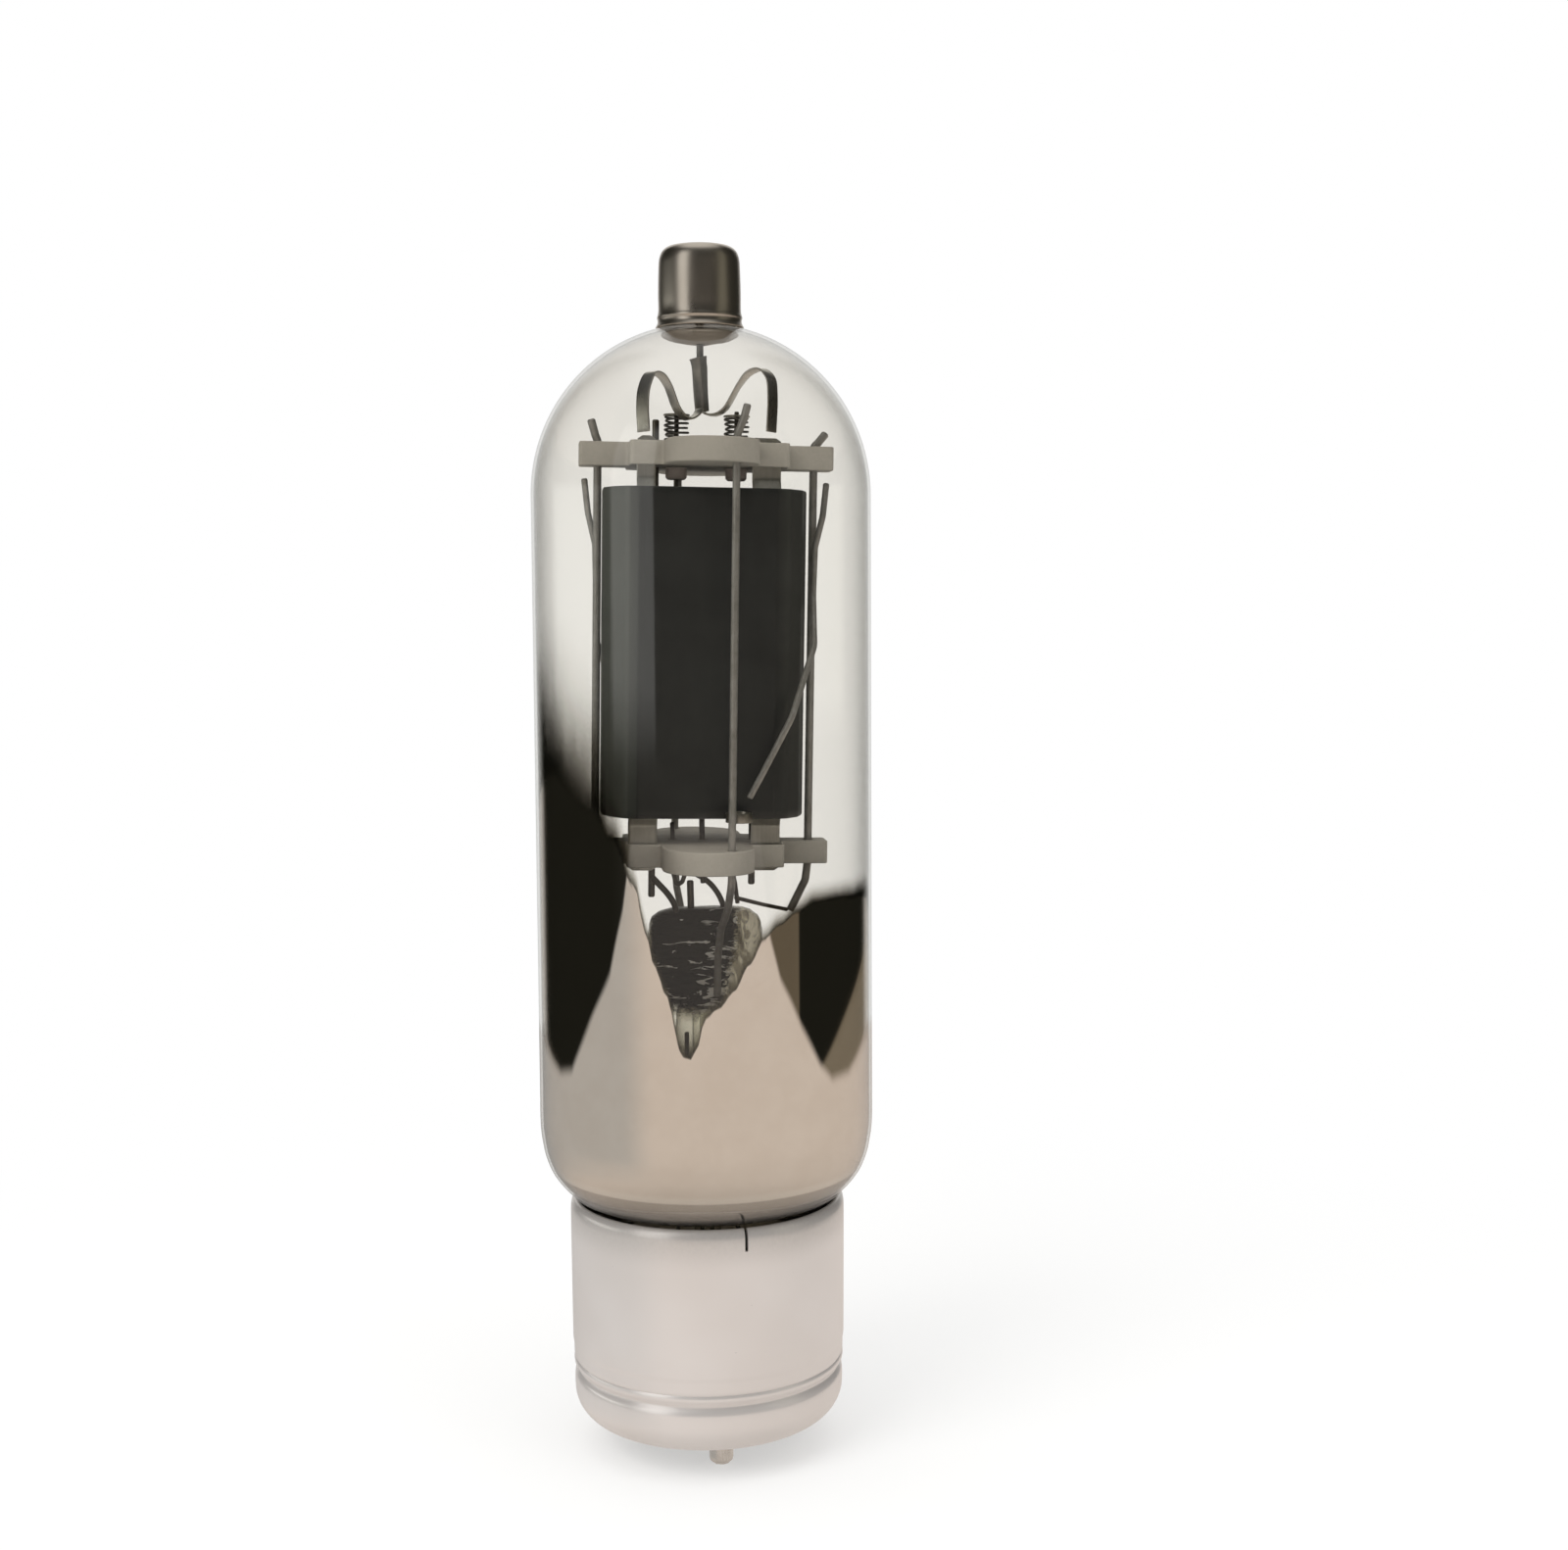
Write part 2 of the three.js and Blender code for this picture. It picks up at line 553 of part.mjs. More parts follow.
// ---- leads between the mount and the stem ----
add('grid_lead', sweep(smooth([
  [-9.3, -1.2, 92.4], [-8.2, -1.4, 91.2], [-6.6, -1.7, 89.4], [-5.45, -2.1, 87.4],
  [-5.2, -2.2, 85.0], [-5.2, -2.2, 78.0],
], 8), 0.55), 'rods', mount);
add('center_lead', sweep([
  [-2.6, -0.4, 91.6], [-2.5, -0.4, 86.4], [-2.3, -0.4, 80.0],
], 0.6), 'rods', mount);
add('arch_lead', sweep(smooth([
  [-3.9, 1.6, 93.6], [-1.3, 1.4, 92.4], [1.0, 1.0, 90.8], [2.7, 0.6, 88.4],
  [3.6, 0.4, 85.4], [3.8, 0.3, 79.0],
], 9), 0.5), 'rods', mount);
add('diagonal_brace', sweep([
  [4.4, -15.4, 90.6], [10.0, -8.6, 88.4], [14.9, -2.2, 86.6],
], 0.35, 6), 'rods', leaning);

// ---- glass stem: a flat pinched press on top of a flared, open tube ----
const STEM_TOP = 90.7;
const STEM_SEGMENTS = 26;
const STEM_TURN = 0.05;          // radians about Z
const PRESS_DEPTH = 7.8;
const CHANNEL_R = 1.05;
const CHANNEL_TOP = 94.0;
// wire channels in the press: [x at the top, x at the bottom, y, z of the bottom]
const CHANNELS = [
  [-5.2, -5.2, -2.2, 80.6], [-2.5, -2.3, -0.4, 82.6], [3.8, 3.8, 0.3, 81.6],
  [6.4, 6.4, -0.2, 87.6],
];

function stem() {
  // [radius, z] of the inside of the tube where it narrows under its top
  const roof = [[5.3, 72.0], [4.2, 75.0], [1.6, 76.0]];
  const tube = toSolid(ring([
    [20.9, 34.0], [21.0, 39.2], [19.2, 42.8], [14.0, 46.4], [9.4, 51.4], [7.3, 57.5],
    [6.7, 65.0], [6.5, 73.0], [5.0, 76.4], [1.6, 77.4],
    ...[...roof].reverse(),
    [5.5, 65.0], [6.1, 58.0], [8.2, 52.0], [13.1, 47.5], [18.4, 43.8], [19.8, 39.6],
    [19.8, 34.0],
  ], STEM_SEGMENTS).rotateZ(STEM_TURN));
  const bore = toSolid(turned([[0, 63], [5.3, 63], ...roof, [0, 76.0]], STEM_SEGMENTS)
    .rotateZ(STEM_TURN));
  // the press outline holds [x, z]
  const press = toSolid(extrude([
    [-9.3, 74.4], [-5.8, 67.8], [5.8, 67.8], [9.0, 73.4], [10.4, 83.7], [10.2, 87.7],
    [8.6, 90.1], [6.6, STEM_TOP], [-6.4, STEM_TOP], [-8.6, 89.7], [-9.5, 86.7], [-9.7, 79.6],
  ], PRESS_DEPTH).translate(0, 0, -PRESS_DEPTH / 2).rotateX(Math.PI / 2));
  let body = tube.add(press.subtract(bore));
  for (const [topX, bottomX, y, bottom] of CHANNELS) {
    const channel = sweep([[topX, y, CHANNEL_TOP], [bottomX, y, bottom]], CHANNEL_R);
    body = body.subtract(toSolid(channel));
  }
  return fromSolid(body);
}
add('stem', stem(), 'glass');
add('exhaust_tube', ring([[1.1, 28.0], [2.4, 28.0], [2.4, 72.0], [1.1, 72.0]], 12), 'glass');

// ---- base ----
// Shell with a rounded foot, a groove above it and a narrow slot in the front of its rim.
function baseShell() {
  const foot = [18.3, 5.5];      // [radius, z] centre of the foot's rounding
  const shell = toSolid(ring([
    [17.6, 0], ...arc(...foot, 5.5, -90, -6, 4), [23.85, 8.2], [23.45, 8.8], [23.45, 9.5],
    [23.8, 9.9], [23.98, 10.5], [23.85, 11.1], [23.98, 13.6], [24.15, 14.3],
    [SHELL_R, 36.6], [SHELL_R - 0.05, 38.8], [23.75, 39.5], [22.95, SHELL_TOP],
    [23.0, 39.1], [23.55, 38.4], [23.4, 14.4], [22.98, 13.4],
    ...arc(...foot, 4.6, -6, -90, 3), [17.6, 0.9],
  ]));
  const slot = new THREE.BoxGeometry(0.6, 4, 6)
    .translate(0, -SHELL_R, 38.9)
    .rotateZ(degToRad(10.5));
  return fromSolid(shell.subtract(toSolid(slot)));
}
add('base_shell', baseShell(), 'base');
add('base_cement', ring([[22.65, 28.5], [23.3, 28.5], [23.3, 37.8], [22.65, 37.8]]), 'cement');

// Pin centres, a quarter turn apart and 4 degrees off the axes.
const pinCentres = circle(PIN_CIRCLE_R, 4, 0, 0, 4 / 90);
const pinHoles = pinCentres.map(([x, y]) => roundHole(x, y, 2.75, 12));
add('base_insulator', plate(circle(17.0, SEGMENTS), [0.2, 5.2], pinHoles), 'ceramic');

const PIN_RADII = [2.37, 2.37, 2.15, 2.15];
const PIN_WALL = 0.6;
pinCentres.forEach(([x, y], i) => {
  const radius = PIN_RADII[i];
  add(`pin_${i + 1}`, turned([
    [0, -PIN_PROTRUSION], [radius - 0.75, -PIN_PROTRUSION], [radius - 0.2, -4.5],
    [radius, -3.8], [radius, 6.2], [radius - PIN_WALL, 6.2], [radius - PIN_WALL, -3.0],
    [0, -3.0],
  ], 14).translate(x, y, 0), 'pins');
});
add('bayonet_pin', sweep([[0, 24.45, 17.0], [0, 26.8, 17.0]], 1.15, 10), 'pins');

// Leads rise from the pins and draw in towards the axis.
// [fraction of the pin's distance from the axis, z]
const BASE_LEAD = [[1, -2.2], [1, 8.0], [0.75, 22.0], [0.27, 38.0], [0.27, 68.5]];
pinCentres.forEach(([x, y], i) => {
  const points = BASE_LEAD.map(([fraction, z]) => [x * fraction, y * fraction, z]);
  add(`base_lead_${i + 1}`, sweep(points, 0.4, 6), 'rods');
});

export default group;
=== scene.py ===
# A glass transmitting tube standing on its four pins: base shell, pressed stem, carbonised
# anode between two ceramic spacers, domed bulb with a getter mirror, and an anode cap on top.
# The axis is Z, the front faces -Y and +X is to the right. Lengths are millimetres unless a
# comment says otherwise, and become metres as each mesh is made.
import bpy
import bmesh
import math
from mathutils import Vector, Matrix, noise


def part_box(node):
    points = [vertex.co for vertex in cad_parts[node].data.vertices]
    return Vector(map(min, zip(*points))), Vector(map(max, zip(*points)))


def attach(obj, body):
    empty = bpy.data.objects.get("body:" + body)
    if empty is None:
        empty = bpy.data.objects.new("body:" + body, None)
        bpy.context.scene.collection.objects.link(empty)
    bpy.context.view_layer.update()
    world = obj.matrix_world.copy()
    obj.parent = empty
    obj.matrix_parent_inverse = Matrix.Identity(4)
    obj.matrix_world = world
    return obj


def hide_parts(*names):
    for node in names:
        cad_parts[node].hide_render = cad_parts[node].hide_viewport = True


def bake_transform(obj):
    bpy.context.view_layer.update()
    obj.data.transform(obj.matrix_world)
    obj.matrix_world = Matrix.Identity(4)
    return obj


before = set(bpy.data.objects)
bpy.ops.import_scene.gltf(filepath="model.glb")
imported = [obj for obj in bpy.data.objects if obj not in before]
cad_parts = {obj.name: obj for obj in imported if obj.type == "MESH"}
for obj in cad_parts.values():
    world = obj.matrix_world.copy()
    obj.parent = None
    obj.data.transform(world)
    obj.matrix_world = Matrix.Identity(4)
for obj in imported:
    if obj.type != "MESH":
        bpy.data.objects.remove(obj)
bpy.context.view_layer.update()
MM = 0.001
TAU = 2 * math.pi
scene = bpy.context.scene


def low_corner(node):
    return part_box(node)[0] * 1000


def high_corner(node):
    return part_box(node)[1] * 1000


# ---------------------------------------------------------- driving dimensions
BASE_Z = low_corner("base_shell").z     # bottom edge of the base shell
MOUNT_Z = BASE_Z + 3.95                 # level the mount heights count from
BULB_R = high_corner("bulb").y
DOME_END_R = 0.95                       # small opening at the top of the dome
DOME_Z = high_corner("bulb").z - math.sqrt(BULB_R ** 2 - DOME_END_R ** 2)
SHELL_R = high_corner("base_shell").y
WALL = 0.5                              # bulb glass
SEAL_R, NECK_R = 22.4, 23.5             # bulb skirt inside the base, and its neck

TIE_X = 18.75                           # left and right tie rods
FRONT_TIE = (3.5, -17.5)                # front tie rod; the rear one is opposite
GRID_X = 8.8                            # grid side rods
HOOK_X = 5.2                            # filament hooks
STRAP_Y = -7.2                          # straps where they pass the spacers
PIN_CIRCLE_R = 12.8

VIEW = math.radians(-5)                 # side the tube is looked at from
SIDES = (("left", -1), ("right", 1))
FACES = (("front", 1), ("rear", -1))

# The mount leans to the right inside the bulb, about a point on the axis.
LEAN = math.radians(1.15)
LEAN_AT = Vector((0, 0, (MOUNT_Z + 119.0) * MM))
LEAN_MATRIX = (Matrix.Translation(LEAN_AT) @ Matrix.Rotation(LEAN, 4, "Y")
               @ Matrix.Translation(-LEAN_AT))
LEANING = {"top_spacer", "bottom_spacer", "anode_front_half", "anode_rear_half",
           "tie_rod_front", "tie_rod_rear", "getter_cup_front", "getter_cup_rear",
           "grid_helix", "filament_center_hook", "diagonal_brace"}
LEANING |= {f"{part}_{side}" for side, _ in SIDES for part in (
    "anode_strap", "lower_strap", "tie_rod", "getter_wire", "grid_rod", "hook_rod",
    "spring_collar", "hook_bush", "spring", "filament", "filament_lead")}


def base_z(z):
    """Height above the bottom edge of the base shell, in the frame."""
    return z + BASE_Z


def mount_z(z):
    """Height in the mount, in the frame."""
    return z + MOUNT_Z


def from_base(rows):
    """Points whose last column is a height above the base."""
    return [(*row[:-1], base_z(row[-1])) for row in rows]


def from_mount(rows):
    """Points whose last column is a height in the mount."""
    return [(*row[:-1], mount_z(row[-1])) for row in rows]


# -------------------------------------------------------------- lines and curves
def fillet(corners, closed=False, steps=5, radius=0.0):
    """Turn corners into arcs. A corner is a point, or a (point, radius) pair."""
    pairs = [(Vector(c[0]), c[1]) if isinstance(c[0], tuple) else (Vector(c), radius)
             for c in corners]
    count, out = len(pairs), []
    for i, (corner, r) in enumerate(pairs):
        if r <= 0 or (not closed and i in (0, count - 1)):
            out.append(corner)
            continue
        back, ahead = pairs[i - 1][0] - corner, pairs[(i + 1) % count][0] - corner
        back_len, ahead_len = back.length, ahead.length
        back, ahead = back / back_len, ahead / ahead_len
        angle = math.acos(max(-1, min(1, back.dot(ahead))))
        if angle > math.pi - 0.02 or angle < 0.02:
            out.append(corner)
            continue
        reach = min(r / math.tan(angle / 2), 0.49 * back_len, 0.49 * ahead_len)
        r = reach * math.tan(angle / 2)
        centre = corner + (back + ahead).normalized() * (r / math.sin(angle / 2))
        start, end = corner + back * reach - centre, corner + ahead * reach - centre
        sweep = math.pi - angle
        for k in range(steps + 1):
            w = k / steps
            out.append(centre + (start * math.sin((1 - w) * sweep)
                                 + end * math.sin(w * sweep)) / math.sin(sweep))
    return out


def spline(points, steps):
    """Centripetal Catmull-Rom through the points, with steps to a span."""
    ctrl = [Vector(p) for p in points]
    ctrl = [ctrl[0] * 2 - ctrl[1]] + ctrl + [ctrl[-1] * 2 - ctrl[-2]]
    knots = [0.0]
    out = []

    def between(p, q, start, end, t):
        return p * ((end - t) / (end - start)) + q * ((t - start) / (end - start))

    for i in range(1, len(ctrl) - 2):
        span = ctrl[i - 1:i + 3]
        knots = [0.0]
        for p, q in zip(span, span[1:]):
            knots.append(knots[-1] + max((q - p).length, 1e-6) ** 0.5)
        for k in range(steps):
            t = knots[1] + (knots[2] - knots[1]) * k / steps
            lines = [between(span[j], span[j + 1], knots[j], knots[j + 1], t) for j in range(3)]
            first = between(lines[0], lines[1], knots[0], knots[2], t)
            second = between(lines[1], lines[2], knots[1], knots[3], t)
            out.append(between(first, second, knots[1], knots[2], t))
    out.append(ctrl[-2].copy())
    return out


def split_long(path, spacing):
    """Add points along the straights of a path."""
    out = []
    for p, q in zip(path, path[1:]):
        count = max(1, int((q - p).length / spacing))
        out += [p.lerp(q, k / count) for k in range(count)]
    return out + [path[-1]]


def interpolate(rows, key, ease=False):
    """The other columns of a table, read at a value of its first column."""
    for low, high in zip(rows, rows[1:]):
        if low[0] <= key <= high[0] and high[0] > low[0]:
            k = (key - low[0]) / (high[0] - low[0])
            if ease:
                k = k * k * (3 - 2 * k)
            return [p + (q - p) * k for p, q in zip(low[1:], high[1:])]
    return list(rows[-1][1:])


def circle(x, y, radius, count=24):
    return [(x + radius * math.cos(TAU * k / count), y + radius * math.sin(TAU * k / count))
            for k in range(count)]


def rounded_box(half_x, half_y, corner, x=0.0, y=0.0):
    signs = ((-1, -1), (1, -1), (1, 1), (-1, 1))
    return fillet([((x + sx * half_x, y + sy * half_y), corner) for sx, sy in signs],
                  closed=True, steps=3)


# ------------------------------------------------------------------ mesh kit
def mesh_from(name, verts, faces):
    mesh = bpy.data.meshes.new(name)
    mesh.from_pydata([(x * MM, y * MM, z * MM) for x, y, z in verts], [], faces)
    return mesh


def tidy(mesh, merge=0.0, collapse=0.0):
    """Merge close points, drop collapsed edges (both in metres) and face normals outwards."""
    bm = bmesh.new()
    bm.from_mesh(mesh)
    if merge:
        bmesh.ops.remove_doubles(bm, verts=bm.verts, dist=merge)
    if collapse:
        bmesh.ops.dissolve_degenerate(bm, edges=bm.edges, dist=collapse)
    bmesh.ops.recalc_face_normals(bm, faces=bm.faces)
    bm.to_mesh(mesh)
    bm.free()


def shade_smooth(mesh, sharp):
    """Smooth shading with edges sharper than the given degrees kept; 0 keeps none."""
    for face in mesh.polygons:
        face.use_smooth = True
    if sharp:
        mesh.set_sharp_from_angle(angle=math.radians(sharp))


def finish_object(node, mesh, mat, body="tube", sharp=35):
    """Object that takes the place of a frame node. It rides a body unless body is None."""
    shade_smooth(mesh, sharp)
    mesh.materials.append(mat)
    if node in LEANING:
        mesh.transform(LEAN_MATRIX)
        mesh.update()
    ob = bpy.data.objects.new("vis_" + node, mesh)
    scene.collection.objects.link(ob)
    if body:
        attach(ob, body)
    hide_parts(node)
    return ob


def finish_mesh(node, verts, faces, mat, **finish):
    mesh = mesh_from("vis_" + node, verts, faces)
    tidy(mesh, merge=1e-7, collapse=1e-8)
    return finish_object(node, mesh, mat, **finish)


def band(low, high, count):
    """Quads between two closed rings, given the first index of each."""
    return [(low + k, low + (k + 1) % count, high + (k + 1) % count, high + k)
            for k in range(count)]


def lathe(node, profile, mat, seg=96, at=(0, 0), closed=True, wobble=None, **finish):
    """Turn (radius, height) points about an upright axis.

    A closed profile joins up with itself; an open one starts and ends on the axis.
    wobble(r, z, angle) moves a point; the angle runs from the front towards the right."""
    verts, rings, faces = [], [], []
    for r, z in profile:
        if r < 1e-6:
            rings.append([len(verts)])
            verts.append((at[0], at[1], z))
            continue
        rings.append(list(range(len(verts), len(verts) + seg)))
        for k in range(seg):
            a = TAU * k / seg
            ring_r, ring_z = wobble(r, z, a) if wobble else (r, z)
            verts.append((at[0] + ring_r * math.sin(a), at[1] - ring_r * math.cos(a), ring_z))
    count = len(rings)
    for i in range(count if closed else count - 1):
        low, high = rings[i], rings[(i + 1) % count]
        for k in range(seg):
            j = (k + 1) % seg
            if len(low) == 1:
                faces.append((low[0], high[k], high[j]))
            elif len(high) == 1:
                faces.append((low[k], high[0], low[j]))
            else:
                faces.append((low[k], high[k], high[j], low[j]))
    return finish_mesh(node, verts, faces, mat, **finish)


def tube_mesh(path, radius, sides=14, round_ends=0.35, section=None, across=None):
    """Points and faces of a round wire with eased ends.

    With a section (half width, half thickness, corner radius) it is a strip, whose width
    lies along the across direction given for each point of the path."""
    path = [Vector(p) for p in path]
    last = len(path) - 1
    tangents = [(path[min(i + 1, last)] - path[max(i - 1, 0)]).normalized()
                for i in range(last + 1)]
    if section:
        outline = rounded_box(*section)
        size, end_size, inset = 1.0, 0.96, round_ends * section[1]
    else:
        outline = circle(0, 0, 1, sides)
        size, end_size, inset = radius, radius * 0.72, round_ends * radius
    wide = Vector((0, 1, 0)) if abs(tangents[0].y) < 0.8 else Vector((1, 0, 0))
    frames = []
    for i, tangent in enumerate(tangents):
        if across:
            wide = Vector(across[i])
        elif i:
            wide = tangents[i - 1].rotation_difference(tangent) @ wide
        wide = (wide - tangent * wide.dot(tangent)).normalized()
        frames.append((wide, tangent.cross(wide).normalized()))
    centres = list(path)
    centres[0] = path[0] + tangents[0] * inset
    centres[-1] = path[-1] - tangents[-1] * inset
    stations = [(path[0], frames[0], end_size)]
    stations += [(p, axes, size) for p, axes in zip(centres, frames)]
    stations.append((path[-1], frames[-1], end_size))
    verts = [tuple(p + axes[0] * u * scale + axes[1] * v * scale)
             for p, axes, scale in stations for u, v in outline]
    count = len(outline)
    top = (len(stations) - 1) * count
    faces = []
    for i in range(len(stations) - 1):
        faces += band(i * count, (i + 1) * count, count)
    faces.append(tuple(reversed(range(count))))
    faces.append(tuple(range(top, top + count)))
    return verts, faces


def wire(node, path, radius, mat, sides=14, round_ends=0.35, section=None, across=None,
         **finish):
    verts, faces = tube_mesh(path, radius, sides, round_ends, section, across)
    return finish_mesh(node, verts, faces, mat, **finish)


def bent(node, points, radius, mat, bend=1.5, sides=18, **finish):
    """Wire along straight runs joined by bends."""
    return wire(node, fillet(points, steps=6, radius=bend), radius, mat, sides=sides, **finish)


def plate(node, outline, holes, low, high, mat, bevel):
    """Flat plate with holes and rounded edges, from a filled 2-D curve."""
    curve = bpy.data.curves.new("plate_outline", "CURVE")
    curve.dimensions = "2D"
    curve.fill_mode = "BOTH"
    for loop in [outline] + holes:
        line = curve.splines.new("POLY")
        line.points.add(len(loop) - 1)
        for i, (x, y) in enumerate(loop):
            line.points[i].co = (x * MM, y * MM, 0, 1)
        line.use_cyclic_u = True
    curve.bevel_depth = bevel * MM
    curve.bevel_resolution = 3
    curve.offset = -bevel * MM
    curve.extrude = max((high - low) / 2 - bevel, 0) * MM
    source = bpy.data.objects.new("plate_source", curve)
    scene.collection.objects.link(source)
    bpy.context.view_layer.update()
    graph = bpy.context.evaluated_depsgraph_get()
    mesh = bpy.data.meshes.new_from_object(source.evaluated_get(graph))
    bpy.data.objects.remove(source)
    bpy.data.curves.remove(curve)
    mesh.transform(Matrix.Translation((0, 0, (low + high) / 2 * MM)))
    tidy(mesh, merge=2e-6)
    mesh.name = "vis_" + node
    return finish_object(node, mesh, mat, sharp=45)


# -------------------------------------------------------------- material kit
class Nodes:
    """Short ways to add shader nodes. Colours are (r, g, b)."""

    def __init__(self, tree):
        self.tree = tree
        tree.nodes.clear()

    def new(self, kind, **settings):
        node = self.tree.nodes.new("ShaderNode" + kind)
        for key, value in settings.items():
            setattr(node, key, value)
        return node

    def put(self, socket, value):
        """Link a socket, or set a number or colour."""
        if isinstance(value, bpy.types.NodeSocket):
            self.tree.links.new(value, socket)
        else:
            socket.default_value = (*value, 1.0) if isinstance(value, tuple) else value

    def math(self, operation, *values, clamp=False):
        node = self.new("Math", operation=operation, use_clamp=clamp)
        for socket, value in zip(node.inputs, values):
            self.put(socket, value)
        return node.outputs[0]

    def add(self, first, second):
        return self.math("ADD", first, second)

    def sub(self, first, second):
        return self.math("SUBTRACT", first, second)

    def mul(self, product, *factors):
        for factor in factors:
            product = self.math("MULTIPLY", product, factor)
        return product

    def weighted(self, first, first_weight, second, second_weight):
        return self.add(self.mul(first, first_weight), self.mul(second, second_weight))

    def mix(self, factor, first, second):
        node = self.new("Mix", data_type="RGBA")
        self.put(node.inputs["Factor"], factor)
        self.put(node.inputs[6], first)
        self.put(node.inputs[7], second)
        return node.outputs[2]

    def mix_value(self, factor, first, second):
        node = self.new("Mix", data_type="FLOAT")
        self.put(node.inputs[0], factor)
        self.put(node.inputs[2], first)
        self.put(node.inputs[3], second)
        return node.outputs[0]

    def ramp(self, value, start, end, low=0.0, high=1.0, smooth=True):
        """Goes from low to high as the value goes from start to end."""
        node = self.new("MapRange", interpolation_type="SMOOTHSTEP" if smooth else "LINEAR")
        node.clamp = True
        for name, setting in (("Value", value), ("From Min", start), ("From Max", end),
                              ("To Min", low), ("To Max", high)):
            self.put(node.inputs[name], setting)
        return node.outputs[0]

    def coords(self, *scale):
        """Object coordinates in millimetres, scaled per axis if three scales are given."""
        node = self.new("Mapping")
        node.inputs["Scale"].default_value = tuple(1000 * s for s in scale or (1, 1, 1))
        self.put(node.inputs["Vector"], self.new("TexCoord").outputs["Object"])
        return node.outputs[0]

    def split(self, vector):
        node = self.new("SeparateXYZ")
        self.put(node.inputs[0], vector)
        return node.outputs

    def object_axes(self):
        """Plain object coordinates, in metres."""
        return self.split(self.new("TexCoord").outputs["Object"])

    def noise(self, vector, scale, detail, rough, distort=0.0):
        node = self.new("TexNoise")
        for name, setting in (("Vector", vector), ("Scale", scale), ("Detail", detail),
                              ("Roughness", rough), ("Distortion", distort)):
            self.put(node.inputs[name], setting)
        return node.outputs["Fac"]

    def bump(self, height, strength, depth):
        """Normal from a height field; the depth is in millimetres."""
        node = self.new("Bump")
        self.put(node.inputs["Strength"], strength)
        self.put(node.inputs["Distance"], depth * MM)
        self.put(node.inputs["Height"], height)
        return node.outputs[0]

    def facing(self):
        """0 where the surface faces the eye, 1 at its outline."""
        node = self.new("LayerWeight")
        self.put(node.inputs["Blend"], 0.5)
        return node.outputs["Facing"]

    def mirror_rays(self, light_path):
        """0 for shadow and diffuse rays, which pass the reflection by."""
        return self.sub(1.0, self.math("MAXIMUM", light_path["Is Shadow Ray"],
                                       light_path["Is Diffuse Ray"]))

    def shader(self, kind, **inputs):
        """Shader node; an underscore in an input name stands for a space."""
        node = self.new(kind)
        for name, value in inputs.items():
            self.put(node.inputs[name.replace("_", " ")], value)
        return node.outputs[0]

    def mix_shader(self, factor, first, second):
        node = self.new("MixShader")
        for socket, value in zip(node.inputs, (factor, first, second)):
            self.put(socket, value)
        return node.outputs[0]

    def output(self, shader, kind="Material"):
        self.put(self.new("Output" + kind).inputs["Surface"], shader)


def new_material(name):
    mat = bpy.data.materials.new(name)
    mat.use_nodes = True
    return mat, Nodes(mat.node_tree)


def metal(name, color, dark, rough=0.35, metallic=1.0, streak=(1, 1, 0.06), tarnish=0.5,
          fine=4.0, bump=0.08, mottle=0.35):
    """Metal with drawn streaks, mottled tarnish and fine tooth.

    tarnish is how far the dark colour comes through, fine and mottle are noise scales."""
    mat, net = new_material(name)
    points = net.coords()
    patches = net.noise(points, scale=mottle, detail=4, rough=0.6)
    streaks = net.noise(net.coords(*streak), scale=fine, detail=3, rough=0.6)
    tooth = net.noise(points, scale=9.0, detail=2, rough=0.5)
    stain = net.ramp(net.weighted(patches, 0.62, streaks, 0.38), 0.38, 0.66)
    uneven = net.add(net.mul(streaks, 0.16), net.add(net.mul(patches, 0.14), rough - 0.15))
    net.output(net.shader(
        "BsdfPrincipled",
        Base_Color=net.mix(net.mul(stain, tarnish), color, dark),
        Roughness=uneven,
        Metallic=metallic,
        Normal=net.bump(net.weighted(streaks, 0.6, tooth, 0.4), strength=bump, depth=0.06)))
    return mat


def glass(name, tint, edge, edge_power, head_on):
    """Thin-wall glass: each of the two faces of the wall reflects and tints on its own.

    edge is the tint at the outline, head_on the share reflected where it faces the eye."""
    mat, net = new_material(name)
    facing = net.facing()
    # faint upright draw lines bend the reflections
    lines = net.noise(net.coords(0.35, 0.35, 0.012), scale=1.0, detail=2, rough=0.4)
    fresnel = net.add(net.mul(net.math("POWER", facing, 5.0), 1 - head_on), head_on)
    fresnel = net.math("MULTIPLY", fresnel, 1.0, clamp=True)
    light_path = net.new("LightPath").outputs
    color = net.mix(net.math("POWER", facing, edge_power), tint, edge)
    clear = net.shader("BsdfTransparent", Color=color)
    mirror = net.shader("BsdfGlossy", Roughness=0.0,
                        Normal=net.bump(lines, strength=0.25, depth=0.05))
    net.output(net.mix_shader(net.mul(fresnel, net.mirror_rays(light_path)), clear, mirror))
    return mat


